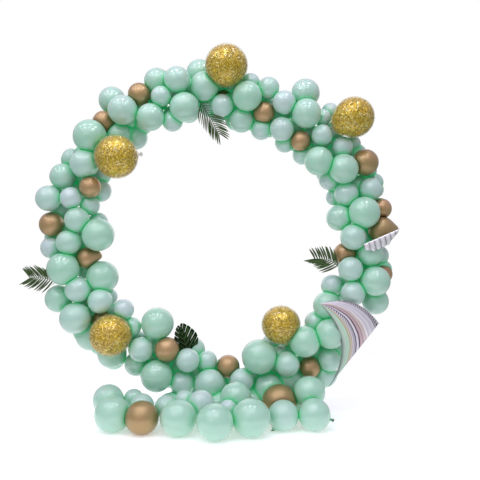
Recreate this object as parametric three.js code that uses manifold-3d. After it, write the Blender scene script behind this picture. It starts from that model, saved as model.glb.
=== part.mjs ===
// A balloon garland: a ring of latex balloons that leans on a wall, with a tail of balloons
// that lies on the floor in front of its lower half. Confetti balloons, leaves and foil trim
// are worked in between.
//
// Millimetres. +Z is up, +Y points into the wall, +X is to the right of a person who faces
// the garland. The origin is the flat patch by which the topmost rear balloon meets the wall.
// The layout is written from the ring's centre and moved to that origin at the end.

import * as THREE from 'three';
import { mergeVertices } from 'three/addons/utils/BufferGeometryUtils.js';
import Module from 'manifold-3d';

const wasm = await Module();
wasm.setup();

// Driving dimensions
const RING_RADIUS = 1000; // centre of the ring to the line that the balloons are strung along
const WALL_BEHIND_LINE = 160; // the wall's face behind that line
const FLOOR_BELOW_CENTRE = 1290; // the floor below the ring's centre
const HANGING_BALLOON = { clock: 353.5, out: 200, forward: -80, diameter: 200 };

const CONTACT_GAP = 0.3; // between two pieces that press on each other
const FACET_SWELL = 1.03; // puts a faceted ball's corners proud, so that its volume is a true ball's
const COARSE_SWELL = 1.08; // the same for the coarser balls, of the rear and the smallest
const SMALL_RADIUS = 78;
const NEIGHBOUR_REACH = 1.08; // balls nearer than this share of their radii are pressed flat
const JOIN_BITE = 8; // how far the touching corners of two joined balls pass each other
const MERGE_WITHIN = 0.001;
const NECK_SIDES = 6;
const KNOT_RADIUS = 9;

const MINT = { color: 0xb0e2cb, roughness: 0.42, metalness: 0 };
const GOLD = { color: 0xa6805c, roughness: 0.28, metalness: 0.75 };
const CONFETTI = { color: 0xc9a848, roughness: 0.2, metalness: 0.3 };
const LEAF = { color: 0x26401f, roughness: 0.55, metalness: 0 };
const MARBLED_FOIL = { color: 0xcfc4cc, roughness: 0.2, metalness: 0.4 };
const SILVER_FOIL = { color: 0xd8d6dc, roughness: 0.25, metalness: 0.6 };

// Mint clusters of the ring, clockwise from the top. Each balloon is
// [clock angle in degrees, out from the ring line, forward of it, diameter].
const RING_CLUSTERS = [
  [[36, 65, 100, 210], [31.5, 200, 15, 205], [41.5, 130, 20, 125], [46, 25, 85, 150]],
  [[12, 5, 100, 210], [12, 125, 20, 130], [19, 110, 60, 155], [26.5, 50, 100, 165]],
  [[31, -115, 60, 175], [22, -170, -10, 155], [11.5, -150, 0, 180], [35.5, -170, -25, 145]],
  [[53.5, -115, 100, 205], [46, -155, -30, 140]],
  [[62, 5, 100, 210], [54.5, 90, 45, 150], [55.5, 180, -40, 125], [63, -105, 0, 150]],
  [[72, -35, 35, 175], [71.5, -110, -65, 120], [81.5, -125, 35, 185]],
  [[81, 45, 100, 225], [73, 140, 35, 165], [71, 205, -65, 130]],
  [[96.5, 90, 60, 185], [90.5, -45, 100, 185], [97, 175, -70, 155], [92.5, 65, -85, 170]],
  [[113, 35, 100, 175], [104, -35, 100, 175], [106, 155, 100, 210], [112.5, 225, 0, 190]],
  [[122.5, -75, 35, 200], [131.5, -65, 0, 155], [113.5, -105, 0, 160]],
  [
    [131, 50, 100, 215], [140.5, -35, 100, 220], [138, 190, 35, 170],
    [141, 300, -30, 190],
  ],
  [[151.5, 25, 110, 175], [153.5, 160, 20, 185], [161.5, 140, 70, 210], [166.5, 50, -60, 170]],
  [[161, -100, 100, 245], [170.5, 30, 100, 170], [152.5, -45, 10, 125]],
  [[185, -105, 35, 145], [193.5, -100, 100, 170], [192.5, -155, -40, 175], [183, 45, 100, 215]],
  [[203.5, 75, 100, 225], [193.5, 80, 60, 175], [212.5, 90, 10, 170], [214, -35, 100, 175], [194.5, 15, -80, 175]],
  [[223.5, -105, 40, 140], [232, -150, 60, 150], [214.5, -245, 60, 230]],
  [[240, 155, 100, 220], [232, 170, -30, 215], [222, 145, -20, 210]],
  [
    [249, 55, 100, 180], [250.5, -125, 35, 230], [248.5, 225, 20, 195],
    [241, -55, 100, 175], [241, -90, -35, 130],
  ],
  [[258, 110, 100, 230], [267.5, 50, 100, 175], [266, 195, 20, 155]],
  [[276.5, -5, 100, 180], [270.5, -160, 100, 230], [276.5, -125, -30, 145]],
  [[284.5, 65, 100, 155], [282.5, 225, 80, 180], [283.5, -60, 35, 145], [291, -85, -40, 160], [294, 45, -85, 170]],
  [[298.5, 65, 100, 205], [308, 140, 100, 235], [298, 195, -10, 140], [291, 185, 35, 185]],
  [[323, 110, 100, 210], [322, 250, -40, 195], [315.5, 15, 5, 175], [320, -60, -75, 175]],
  [[338.5, -120, 40, 150], [345.5, -65, 100, 210], [330.5, -40, 100, 195]],
  [[345.5, 135, 100, 185], [338.5, 195, 10, 185], [338, 60, 100, 145]],
  [[355, 70, 50, 210], [353.5, 200, -80, 200], [2, -70, 50, 160]],
];

// Mint clusters of the tail, left to right. Each balloon is
// [across from the ring's centre, above the floor, forward of the ring line, diameter].
const TAIL_CLUSTERS = [
  [[-680, 115, 385, 240], [-745, 165, 210, 210], [-580, 160, 160, 135], [-505, 140, 270, 165]],
  [[-215, 180, 290, 140], [-335, 145, 320, 155], [-100, 180, 360, 175], [-240, 115, 470, 240]],
  [[230, 120, 490, 250], [0, 115, 565, 235], [80, 155, 400, 120], [130, 200, 290, 210]],
  [[650, 105, 360, 215], [445, 100, 360, 205], [635, 215, 200, 220]],
];

// Gold balloons of the ring, clockwise, as in RING_CLUSTERS
const RING_GOLD = [
  [2, 0, -75, 160], [20.5, -60, 35, 160], [41, -100, 35, 150], [63.5, 175, 35, 190], [80.5, 190, 10, 145],
  [88, 170, 35, 195], [98, -80, 15, 165], [103, 225, -40, 140], [145, 145, 35, 155], [175.5, -65, 35, 165],
  [204, -125, 100, 175], [234, 40, -20, 155], [260.5, -50, 35, 155], [274, 190, 35, 175], [291, -40, 100, 155],
  [315, 155, 20, 160], [331, 155, 35, 165],
];

// Gold balloons of the tail, as in TAIL_CLUSTERS
const TAIL_GOLD = [[-480, 105, 435, 220], [430, 145, 200, 245]];

const CONFETTI_BALLOONS = {
  confetti_balloon_top: [3, 195, 120, 305],
  confetti_balloon_right: [49, 270, 110, 290],
  confetti_balloon_lower_right: [144.5, -225, 60, 280],
  confetti_balloon_lower_left: [227, 20, 130, 300],
  confetti_balloon_left: [308, -105, 140, 310],
};

// Necks that show: clock direction, reach and base radius as shares of the balloon's radius
const SHOWN_NECKS = {
  confetti_balloon_right: { clock: 249, reach: 1.27, base: 0.6 },
  confetti_balloon_lower_right: { clock: 162, reach: 1.28, base: 0.5 },
  confetti_balloon_left: { clock: 84, reach: 1.08, base: 0.3 },
  gold_balloon_06: { clock: 88, reach: 1.25, base: 0.8 },
  gold_balloon_13: { clock: 80, reach: 1.65, base: 0.7 },
};

// Feather palm leaves: root and direction in the ring's plane, then their sizes
const PALM_LEAVES = {
  palm_leaf_top: { clock: 352, out: -21, forward: 60, turn: -58.8, length: 350, halfWidth: 100 },
  palm_leaf_right: { clock: 104, out: -125, forward: 95, turn: 164.5, length: 265, halfWidth: 95 },
  palm_leaf_left: { clock: 256, out: 205, forward: 0, turn: 190, length: 225, halfWidth: 105 },
};
const MONSTERA_LEAF = { clock: 194, out: -175, forward: 50, turn: 108, length: 185, halfWidth: 85 };
const LEAF_THICKNESS = 1.6;
const LEAF_ROOM = 1.12; // a faceted ball this much bigger than a balloon clears it

// Marbled foil balloon: three corners in the ring's plane, [across, up], and how far its two
// curved seams bow from the straight line between their corners
const FOIL_TIP = [721, -474];
const FOIL_RIGHT_CORNER = [1114, -604];
const FOIL_BOTTOM_CORNER = [756, -1072];
const FOIL_INNER_BOW = 140;
const FOIL_UPPER_BOW = 80;
const FOIL_SEAM_FORWARD = 205;
const FOIL_SEAM_LEAN = 45; // how much further back the lower end of the seam lies
const FOIL_PUFF = 46;
const FOIL_SEAM_THICKNESS = 4;

// Scalloped foil rim: the ends of its straight hem, [across, up], and its depth below the hem
const RIM_LEFT = [1012, -58];
const RIM_RIGHT = [1266, 51];
const RIM_DROP = 74;
const RIM_FORWARD = 168;
const RIM_SCALLOPS = 8;
const RIM_PUFF = 14;
const RIM_HEM_THICKNESS = 5;

// Placing

function onRing(clock, out, forward) {
  const angle = THREE.MathUtils.degToRad(clock);
  const radius = RING_RADIUS + out;
  return new THREE.Vector3(radius * Math.sin(angle), -forward, radius * Math.cos(angle));
}

function ringBall([clock, out, forward, diameter]) {
  return { centre: onRing(clock, out, forward), radius: diameter / 2 };
}

function tailBall([across, up, forward, diameter]) {
  return { centre: new THREE.Vector3(across, -forward, up - FLOOR_BELOW_CENTRE), radius: diameter / 2 };
}

function numbered(stem, index) {
  return `${stem}_${String(index + 1).padStart(2, '0')}`;
}

function balloonNodes() {
  const nodes = [];
  const add = (name, finish, balls) => nodes.push({ name, finish, balls });
  const clusters = [...RING_CLUSTERS.map((c) => c.map(ringBall)), ...TAIL_CLUSTERS.map((c) => c.map(tailBall))];
  clusters.forEach((balls, i) => add(numbered('mint_cluster', i), MINT, balls));
  const gold = [...RING_GOLD.map(ringBall), ...TAIL_GOLD.map(tailBall)];
  gold.forEach((ball, i) => add(numbered('gold_balloon', i), GOLD, [ball]));
  for (const [name, place] of Object.entries(CONFETTI_BALLOONS)) {
    add(name, CONFETTI, [ringBall(place)]);
  }
  for (const { name, balls } of nodes.filter((node) => SHOWN_NECKS[node.name])) {
    balls[0].neck = SHOWN_NECKS[name];
  }
  return nodes;
}

// Solids: three.js shapes joined and cut by manifold

function toSolid(geometry) {
  const bare = geometry.clone();
  bare.deleteAttribute('normal');
  bare.deleteAttribute('uv');
  const merged = mergeVertices(bare, MERGE_WITHIN);
  const vertProperties = new Float32Array(merged.attributes.position.array);
  const triVerts = new Uint32Array(merged.index.array);
  return new wasm.Manifold(new wasm.Mesh({ numProp: 3, vertProperties, triVerts }));
}

function toGeometry(solid) {
  const mesh = solid.getMesh();
  const geometry = new THREE.BufferGeometry();
  geometry.setAttribute('position', new THREE.BufferAttribute(mesh.vertProperties, mesh.numProp));
  geometry.setIndex(new THREE.BufferAttribute(mesh.triVerts, 1));
  return geometry;
}

function block(low, high) {
  const size = high.clone().sub(low);
  const box = new THREE.BoxGeometry(size.x, size.y, size.z);
  const middle = low.clone().add(high).divideScalar(2);
  return toSolid(box.translate(middle.x, middle.y, middle.z));
}

const FAR = 4000;
const wall = block(new THREE.Vector3(-FAR, WALL_BEHIND_LINE, -FAR), new THREE.Vector3(FAR, FAR, FAR));
const floor = block(new THREE.Vector3(-FAR, -FAR, -FAR), new THREE.Vector3(FAR, FAR, -FLOOR_BELOW_CENTRE));

// Balloons

function reachOf({ radius, neck }) {
  return neck ? radius * neck.reach : radius;
}

function isPressedBy(ball, other) {
  const touching = reachOf(ball) + reachOf(other);
  return ball.centre.distanceTo(other.centre) < NEIGHBOUR_REACH * touching;
}

// The plane in which two balls meet, seen from the first one's centre, less half the gap
function contact(ball, other) {
  const toOther = other.centre.clone().sub(ball.centre);
  const distance = toOther.length();
  const middle = (distance ** 2 + ball.radius ** 2 - other.radius ** 2) / (2 * distance);
  return { normal: toOther.divideScalar(distance), offset: middle - CONTACT_GAP / 2 };
}

// Draws every corner of a shape round the origin in towards it, behind all the planes
function press(geometry, planes) {
  const corners = geometry.attributes.position;
  const corner = new THREE.Vector3();
  for (let i = 0; i < corners.count; i += 1) {
    corner.fromBufferAttribute(corners, i);
    let keep = 1;
    for (const { normal, offset } of planes) {
      const beyond = corner.dot(normal);
      if (beyond > offset) {
        keep = Math.min(keep, offset / beyond);
      }
    }
    corners.setXYZ(i, corner.x * keep, corner.y * keep, corner.z * keep);
  }
  return geometry;
}

// A cone from inside the balloon to its knot
function neckShape(radius, { clock, reach, base }) {
  const start = radius * Math.sqrt(1 - base ** 2) * 0.9;
  const length = radius * reach - start;
  const cone = new THREE.CylinderGeometry(KNOT_RADIUS, radius * base, length, NECK_SIDES);
  cone.translate(0, start + length / 2, 0);
  cone.rotateX(Math.PI / 2);
  return cone.rotateY(THREE.MathUtils.degToRad(clock));
}

// Moves the corner that best faces each joined ball onto the line between the two centres
function joinUp(geometry, joins) {
  const corners = geometry.attributes.position;
  const corner = new THREE.Vector3();
  for (const { normal, offset } of joins) {
    let nearest = 0;
    let facing = -1;
    for (let i = 0; i < corners.count; i += 1) {
      const cosine = corner.fromBufferAttribute(corners, i).normalize().dot(normal);
      if (cosine > facing) {
        facing = cosine;
        nearest = i;
      }
    }
    const tip = normal.clone().multiplyScalar(offset + JOIN_BITE);
    corners.setXYZ(nearest, tip.x, tip.y, tip.z);
  }
  return geometry;
}

function roundBall(ball) {
  const isCoarse = ball.centre.y >= 0 || ball.radius < SMALL_RADIUS;
  const round = isCoarse
    ? new THREE.OctahedronGeometry(ball.radius * COARSE_SWELL, 1)
    : new THREE.IcosahedronGeometry(ball.radius * FACET_SWELL, 1);
  round.deleteAttribute('normal');
  round.deleteAttribute('uv');
  return mergeVertices(round, MERGE_WITHIN);
}

function balloonSolid(ball, planes, joins) {
  let solid = toSolid(joinUp(press(roundBall(ball), planes), joins));
  if (ball.neck) {
    solid = solid.add(toSolid(press(neckShape(ball.radius, ball.neck), planes)));
  }
  return solid.translate(ball.centre.toArray());
}

// How near two balls are, as a share of the distance at which they would just touch
function closeness(a, b) {
  return a.centre.distanceTo(b.centre) / (a.radius + b.radius);
}

// Each ball of a cluster after the first joins the nearest one before it
function joinsIn(balls) {
  return balls.slice(1).map((ball, i) => {
    const before = balls.slice(0, i + 1);
    return [ball, before.sort((a, b) => closeness(a, ball) - closeness(b, ball))[0]];
  });
}

function clusterSolid(node, balls) {
  const joins = joinsIn(node.balls);
  const solids = node.balls.map((ball) => {
    const partners = joins.filter((pair) => pair.includes(ball)).map(([a, b]) => (a === ball ? b : a));
    const pressing = balls.filter((other) => other !== ball && isPressedBy(ball, other));
    const planes = pressing.map((other) => contact(ball, other));
    return balloonSolid(ball, planes, partners.map((partner) => contact(ball, partner)));
  });
  return wasm.Manifold.union(solids).subtract(wall).subtract(floor);
}

// Leaves and foil

// Lays a shape drawn with X along the piece and Y across it into the ring's plane
function layInRing(geometry, { clock, out, forward, turn }) {
  const root = onRing(clock, out, forward);
  geometry.rotateX(Math.PI / 2);
  geometry.rotateY(-THREE.MathUtils.degToRad(turn));
  return geometry.translate(root.x, root.y, root.z);
}

// A leaf tucked between balloons: what a balloon would cover is cut off
function tuckBetween(solid, balls) {
  const box = solid.boundingBox();
  const bounds = new THREE.Box3(new THREE.Vector3(...box.min), new THREE.Vector3(...box.max));
  let kept = solid;
  for (const { centre, radius } of balls) {
    if (bounds.distanceToPoint(centre) < radius * COARSE_SWELL) {
      const room = new THREE.IcosahedronGeometry(radius * LEAF_ROOM, 1);
      kept = kept.subtract(toSolid(room).translate(centre.toArray()));
    }
  }
  const parts = kept.decompose();
  return parts.sort((a, b) => b.volume() - a.volume())[0];
}

function palmOutline({ length, halfWidth }) {
  const pairs = 11;
  const stalk = 3;
  const blade = 13;
  const firstLeaflet = 0.1;
  const side = (sign) => {
    const points = [];
    for (let i = 0; i < pairs; i += 1) {
      const share = i / (pairs - 1);
      const x = length * (firstLeaflet + (0.88 - firstLeaflet) * share);
      const reach = halfWidth * (0.5 + 0.95 * Math.sin(Math.PI * (0.18 + 0.66 * share)));
      const lean = THREE.MathUtils.degToRad(58 - 34 * share);
      points.push([x, sign * stalk]);
      points.push([x + reach * Math.cos(lean), sign * (stalk + reach * Math.sin(lean) * 0.8)]);
      points.push([x + blade, sign * stalk]);
    }
    return points;
  };
  const outline = [[0, stalk], ...side(1), [length, 0], ...side(-1).reverse(), [0, -stalk]];
  return outline.map(([x, y]) => new THREE.Vector2(x, y));
}

function monsteraOutline({ length, halfWidth }) {
  const lobes = 5;
  const slitDepth = 0.5;
  const half = [];
  const edge = (share, keep) => {
    const angle = Math.PI * share;
    const wide = Math.sin(angle) ** 0.75 * (0.62 + 0.5 * share);
    const x = length * (0.5 + 0.5 * Math.cos(angle)) - length * 0.16 * Math.sin(Math.PI * share) ** 6;
    return [length * 0.42 + (x - length * 0.42) * keep, halfWidth * wide * keep * 1.15];
  };
  for (let i = 0; i < lobes; i += 1) {
    const start = 0.04 + (0.86 * i) / lobes;
    const span = 0.86 / lobes;
    half.push(edge(start + span * 0.12, 1), edge(start + span * 0.5, 1.04), edge(start + span * 0.85, 0.98));
    half.push(edge(start + span, slitDepth));
  }
  const stalk = [[0, 3], [-length * 0.3, 3]];
  const upper = [[length, 0], ...half, ...stalk];
  const lower = upper.slice(1).map(([x, y]) => [x, -y]).reverse();
  return [...upper, ...lower].map(([x, y]) => new THREE.Vector2(x, y));
}

function leafSolid(outline, place, balls) {
  const shape = new THREE.Shape(outline);
  const leaf = new THREE.ExtrudeGeometry(shape, { depth: LEAF_THICKNESS, bevelEnabled: false });
  return tuckBetween(toSolid(layInRing(leaf, place)), balls);
}

// A box of many cells whose faces are bent and puffed: shapeAt takes u and v from 0 to 1 and
// gives [across, up, forward, thickness] of the seam plane there
function puffed(columns, rows, shapeAt) {
  const box = new THREE.BoxGeometry(1, 1, 1, columns, rows, 1);
  const corners = box.attributes.position;
  for (let i = 0; i < corners.count; i += 1) {
    const [across, up, forward, thickness] = shapeAt(corners.getX(i) + 0.5, corners.getY(i) + 0.5);
    corners.setXYZ(i, across, -forward - corners.getZ(i) * thickness, up);
  }
  return toSolid(box);
}

function bowed(from, to, bow, share) {
  const along = [to[0] - from[0], to[1] - from[1]];
  const length = Math.hypot(...along);
  const rise = (4 * bow * share * (1 - share)) / length;
  return [from[0] + along[0] * share - along[1] * rise, from[1] + along[1] * share + along[0] * rise];
}

function marbledFoilSolid() {
  return puffed(9, 7, (u, v) => {
    const share = 0.03 + 0.97 * u;
    const end = bowed(FOIL_BOTTOM_CORNER, FOIL_RIGHT_CORNER, 0, v);
    const bow = THREE.MathUtils.lerp(FOIL_INNER_BOW, FOIL_UPPER_BOW, v);
    const [across, up] = bowed(FOIL_TIP, end, bow, share);
    const low = (FOIL_TIP[1] - up) / (FOIL_TIP[1] - FOIL_BOTTOM_CORNER[1]);
    const puff = FOIL_PUFF * Math.sin(Math.PI * v) ** 0.7 * Math.sqrt(share) * (1 - u ** 6);
    return [across, up, FOIL_SEAM_FORWARD - FOIL_SEAM_LEAN * low + puff / 2, FOIL_SEAM_THICKNESS + puff];
  });
}

function scallopedRimSolid() {
  return puffed(RIM_SCALLOPS * 2, 2, (u, v) => {
    const [across, up] = bowed(RIM_LEFT, RIM_RIGHT, 0, u);
    const drop = RIM_DROP * (1 - v) * Math.min(1, 2.6 * (1 - u), 0.55 + 2 * u);
    const scallop = Math.abs(Math.sin(Math.PI * RIM_SCALLOPS * u));
    const puff = RIM_PUFF * (0.4 + 0.6 * scallop) * Math.sin(Math.PI * v) ** 0.5;
    return [across + drop * 0.25, up - drop, RIM_FORWARD + puff / 2, RIM_HEM_THICKNESS + puff];
  });
}

// The garland

const garland = new THREE.Group();
const fromRingCentre = new THREE.Group();
const hanger = onRing(HANGING_BALLOON.clock, HANGING_BALLOON.out, HANGING_BALLOON.forward);
fromRingCentre.position.set(-hanger.x, -WALL_BEHIND_LINE, -hanger.z);
garland.add(fromRingCentre);

function addPiece(name, finish, solid) {
  const mesh = new THREE.Mesh(toGeometry(solid), new THREE.MeshStandardMaterial(finish));
  mesh.name = name;
  fromRingCentre.add(mesh);
}

const nodes = balloonNodes();
const balloons = nodes.flatMap((node) => node.balls);
for (const node of nodes) {
  addPiece(node.name, node.finish, clusterSolid(node, balloons));
}
for (const [name, place] of Object.entries(PALM_LEAVES)) {
  addPiece(name, LEAF, leafSolid(palmOutline(place), place, balloons));
}
addPiece('monstera_leaf', LEAF, leafSolid(monsteraOutline(MONSTERA_LEAF), MONSTERA_LEAF, balloons));
addPiece('marbled_foil_balloon', MARBLED_FOIL, marbledFoilSolid());
addPiece('scalloped_foil_rim', SILVER_FOIL, scallopedRimSolid());

export default garland;
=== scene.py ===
"""Looks of a balloon garland.

A ring of latex balloons leans on a wall, and a tail of balloons lies on the floor before it.
Confetti balloons, leaves and foil trim are worked in between. Everything is in metres, Z up,
with +Y into the wall. The layout is written in millimetres from the middle of the ring, as a
decorator would mark it, and is moved to the row's own origin by RingFrame.
"""

import logging
import math
from collections.abc import Callable, Iterable, Sequence
from dataclasses import dataclass, field
from enum import Enum

import bmesh
import bpy
import numpy as np
from mathutils import Matrix, Vector


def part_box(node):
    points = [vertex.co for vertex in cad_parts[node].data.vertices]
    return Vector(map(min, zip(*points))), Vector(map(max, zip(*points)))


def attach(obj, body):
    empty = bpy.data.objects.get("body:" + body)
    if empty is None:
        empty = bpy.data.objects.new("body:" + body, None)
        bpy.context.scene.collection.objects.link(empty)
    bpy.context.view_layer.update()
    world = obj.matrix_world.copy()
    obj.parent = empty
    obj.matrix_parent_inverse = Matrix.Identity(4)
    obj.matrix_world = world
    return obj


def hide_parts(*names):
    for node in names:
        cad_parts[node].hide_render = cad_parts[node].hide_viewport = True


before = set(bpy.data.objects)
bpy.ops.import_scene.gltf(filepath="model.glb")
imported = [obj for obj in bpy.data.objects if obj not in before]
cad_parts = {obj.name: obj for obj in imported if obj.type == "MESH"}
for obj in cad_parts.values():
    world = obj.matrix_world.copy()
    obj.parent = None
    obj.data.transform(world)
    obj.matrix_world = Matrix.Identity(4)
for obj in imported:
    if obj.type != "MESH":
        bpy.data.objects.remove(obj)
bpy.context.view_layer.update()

log = logging.getLogger("garland")

Spot = tuple[float, float, float, float]
Colour = tuple[float, float, float]
Stop = tuple[float, Colour]

MM = 0.001
SEED = 7
ROOT = "root"


# ---------------------------------------------------------------------------
# The layout, in millimetres from the middle of the ring
# ---------------------------------------------------------------------------

# Mint clusters of the ring, clockwise from the top. Each balloon is
# (clock angle in degrees, out from the ring line, forward of it, diameter).
RING_CLUSTERS: tuple[tuple[Spot, ...], ...] = (
    ((36, 65, 100, 210), (31.5, 200, 15, 205), (41.5, 130, 20, 125), (46, 25, 85, 150)),
    ((12, 5, 100, 210), (12, 125, 20, 130), (19, 110, 60, 155), (26.5, 50, 100, 165)),
    ((31, -115, 60, 175), (22, -170, -10, 155), (11.5, -150, 0, 180), (35.5, -170, -25, 145)),
    ((53.5, -115, 100, 205), (46, -155, -30, 140)),
    ((62, 5, 100, 210), (54.5, 90, 45, 150), (55.5, 180, -40, 125), (63, -105, 0, 150)),
    ((72, -35, 35, 175), (71.5, -110, -65, 120), (81.5, -125, 35, 185)),
    ((81, 45, 100, 225), (73, 140, 35, 165), (71, 205, -65, 130)),
    ((96.5, 90, 60, 185), (90.5, -45, 100, 185), (97, 175, -70, 155), (92.5, 65, -85, 170)),
    ((113, 35, 100, 175), (104, -35, 100, 175), (106, 155, 100, 210), (112.5, 225, 0, 190)),
    ((122.5, -75, 35, 200), (131.5, -65, 0, 155), (113.5, -105, 0, 160)),
    ((131, 50, 100, 215), (140.5, -35, 100, 220), (138, 190, 35, 170), (142.5, 262, -30, 190)),
    ((151.5, 25, 110, 175), (153.5, 160, 20, 185), (161.5, 140, 70, 210), (166.5, 50, -60, 170)),
    ((161, -100, 100, 245), (170.5, 30, 100, 170), (152.5, -45, 10, 125)),
    ((185, -105, 35, 145), (193.5, -100, 100, 170), (192.5, -155, -40, 175), (183, 45, 100, 215)),
    (
        (203.5, 75, 100, 225), (193.5, 80, 60, 175), (212.5, 90, 10, 170),
        (214, -35, 100, 175), (194.5, 15, -80, 175),
    ),
    ((223.5, -105, 40, 140), (232, -150, 60, 150), (214.5, -245, 60, 230)),
    ((240, 155, 100, 220), (232, 170, -30, 215), (222, 145, -20, 210)),
    (
        (249, 55, 100, 180), (250.5, -125, 35, 230), (248.5, 225, 20, 195),
        (241, -55, 100, 175), (241, -90, -35, 130),
    ),
    ((258, 110, 100, 230), (267.5, 50, 100, 175), (266, 195, 20, 155)),
    ((276.5, -5, 100, 180), (270.5, -160, 100, 230), (276.5, -125, -30, 145)),
    (
        (284.5, 65, 100, 155), (282.5, 225, 80, 180), (283.5, -60, 35, 145),
        (291, -85, -40, 160), (294, 45, -85, 170),
    ),
    ((298.5, 65, 100, 205), (308, 140, 100, 235), (298, 195, -10, 140), (291, 185, 35, 185)),
    ((323, 110, 100, 210), (322, 250, -40, 195), (315.5, 15, 5, 175), (320, -60, -75, 175)),
    ((338.5, -120, 40, 150), (345.5, -65, 100, 210), (330.5, -40, 100, 195)),
    ((345.5, 135, 100, 185), (338.5, 195, 10, 185), (338, 60, 100, 145)),
    ((355, 70, 50, 210), (353.5, 200, -80, 200), (2, -70, 50, 160)),
)

# Mint clusters of the tail, left to right. Each balloon is
# (across from the ring's middle, above the floor, forward of the ring line, diameter).
TAIL_CLUSTERS: tuple[tuple[Spot, ...], ...] = (
    ((-680, 115, 385, 240), (-745, 165, 210, 210), (-580, 160, 160, 135), (-505, 140, 270, 165)),
    ((-215, 180, 290, 140), (-335, 145, 320, 155), (-100, 180, 360, 175), (-240, 115, 470, 240)),
    ((230, 120, 490, 250), (0, 115, 565, 235), (80, 155, 400, 120), (130, 200, 290, 210)),
    ((650, 105, 360, 215), (445, 100, 360, 205), (635, 215, 200, 220)),
)

# Mint balloons on the floor behind the tail, as in TAIL_CLUSTERS
TAIL_REAR: tuple[Spot, ...] = (
    (250, 110, 60, 220), (10, 110, 130, 220), (-330, 95, 120, 190), (520, 100, 60, 200),
)

# Mint balloons that close the last openings behind the ring, as in RING_CLUSTERS
RING_REAR: tuple[Spot, ...] = (
    (5, 95, -60, 140), (25, -25, -60, 130), (36, -30, -60, 130), (133, 195, -30, 170),
    (154, -130, -60, 130), (189, 130, -60, 140), (209, 5, -60, 140), (236, -30, -60, 130),
    (256, 0, -60, 140), (273, 115, -60, 140), (42, 215, -50, 130), (356, -55, -60, 150),
    (0, -110, -60, 130), (8, -150, -60, 140), (48, 135, -60, 150), (54, 26, -60, 130),
    (46, -15, -60, 130), (279, 165, -60, 150), (350, -5, -60, 120), (322, 40, -60, 130),
)

# Gold balloons of the ring, clockwise, as in RING_CLUSTERS
RING_GOLD: tuple[Spot, ...] = (
    (2, 0, -75, 160), (20.5, -60, 35, 160), (41, -100, 35, 150), (63.5, 175, 35, 190),
    (80.5, 190, 10, 145), (88, 170, 35, 195), (98, -80, 15, 165), (103, 225, -40, 140),
    (145, 145, 35, 155), (175.5, -65, 35, 165), (204, -125, 100, 175), (234, 40, -20, 155),
    (260.5, -50, 35, 155), (274, 190, 35, 175), (291, -40, 100, 155), (315, 155, 20, 160),
    (331, 155, 35, 165),
)

# Gold balloons of the tail, as in TAIL_CLUSTERS
TAIL_GOLD: tuple[Spot, ...] = ((-480, 105, 435, 220), (430, 145, 200, 245))

CONFETTI_BALLOONS: dict[str, Spot] = {
    "confetti_balloon_top": (3, 195, 120, 305),
    "confetti_balloon_right": (49, 270, 110, 290),
    "confetti_balloon_lower_right": (144.5, -225, 60, 280),
    "confetti_balloon_lower_left": (227, 20, 130, 300),
    "confetti_balloon_left": (308, -105, 140, 310),
}


@dataclass(frozen=True)
class Neck:
    """How a balloon is drawn out to its neck.

    Attributes:
        clock: Direction in the ring's plane, in degrees clockwise from straight up.
        reach: From the balloon's centre to its knot, as a share of the radius.
        blunt: Radius of the rounded end, as a share of the balloon's; 0 is a point.
        knot: The knot's size, as a share of the usual one.
    """

    clock: float
    reach: float
    blunt: float = 0.0
    knot: float = 1.0


# Necks that show, by node and by the balloon's place in it
SHOWN_NECKS: dict[tuple[str, int], Neck] = {
    ("confetti_balloon_right", 0): Neck(243, 1.2, blunt=0.7),
    ("confetti_balloon_lower_right", 0): Neck(162, 1.13),
    ("confetti_balloon_left", 0): Neck(84, 1.04),
    ("gold_balloon_06", 0): Neck(88, 1.24, blunt=0.4, knot=0.2),
    ("gold_balloon_13", 0): Neck(80, 1.42, blunt=0.55, knot=0.2),
    ("mint_cluster_27", 2): Neck(180, 1.09),
    ("mint_cluster_30", 0): Neck(107, 1.1),
    ("mint_cluster_30", 1): Neck(215, 1.16),
}


@dataclass(frozen=True)
class RingFrame:
    """Where the ring stands in the row's frame, in millimetres.

    Attributes:
        radius: From the ring's middle to the line that the balloons are strung along.
        wall_behind_line: From that line back to the wall.
        floor_below_middle: From the ring's middle down to the floor.
        hanger: The balloon whose flat patch on the wall is the origin.
    """

    radius: float = 1000.0
    wall_behind_line: float = 160.0
    floor_below_middle: float = 1290.0
    hanger: Spot = (353.5, 200.0, -80.0, 200.0)

    def polar(self, clock: float, out: float, forward: float) -> np.ndarray:
        """Gives a point from the ring's middle.

        Args:
            clock: Its clock angle, in degrees.
            out: How far it is outside the ring line.
            forward: How far it is forward of that line.

        Returns:
            Across, back and up.
        """
        angle = math.radians(clock)
        reach = self.radius + out
        return np.array((reach * math.sin(angle), -forward, reach * math.cos(angle)))

    def row(self, point: np.ndarray) -> np.ndarray:
        """Moves a point into the row's frame.

        Args:
            point: Millimetres from the ring's middle.

        Returns:
            Metres from the row's origin.
        """
        hung = self.polar(*self.hanger[:3])
        shift = np.array((-hung[0], -self.wall_behind_line, -hung[2]))
        return (np.asarray(point, float) + shift) * MM

    def on_ring(self, clock: float, out: float, forward: float) -> np.ndarray:
        """Gives polar() in the row's frame."""
        return self.row(self.polar(clock, out, forward))

    def on_floor(self, across: float, above: float, forward: float) -> np.ndarray:
        """Gives a point by its height above the floor, in the row's frame."""
        return self.row(np.array((across, -forward, above - self.floor_below_middle)))

    @property
    def floor_height(self) -> float:
        """Height of the floor in the row's frame, in metres."""
        return float(self.on_floor(0, 0, 0)[2])


RING = RingFrame()


# ---------------------------------------------------------------------------
# Mesh helpers
# ---------------------------------------------------------------------------


def deselect_all() -> None:
    """Leaves nothing selected, so that an operator acts only on what follows."""
    if bpy.context.object and bpy.context.object.mode != "OBJECT":
        bpy.ops.object.mode_set(mode="OBJECT")
    bpy.ops.object.select_all(action="DESELECT")


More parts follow.
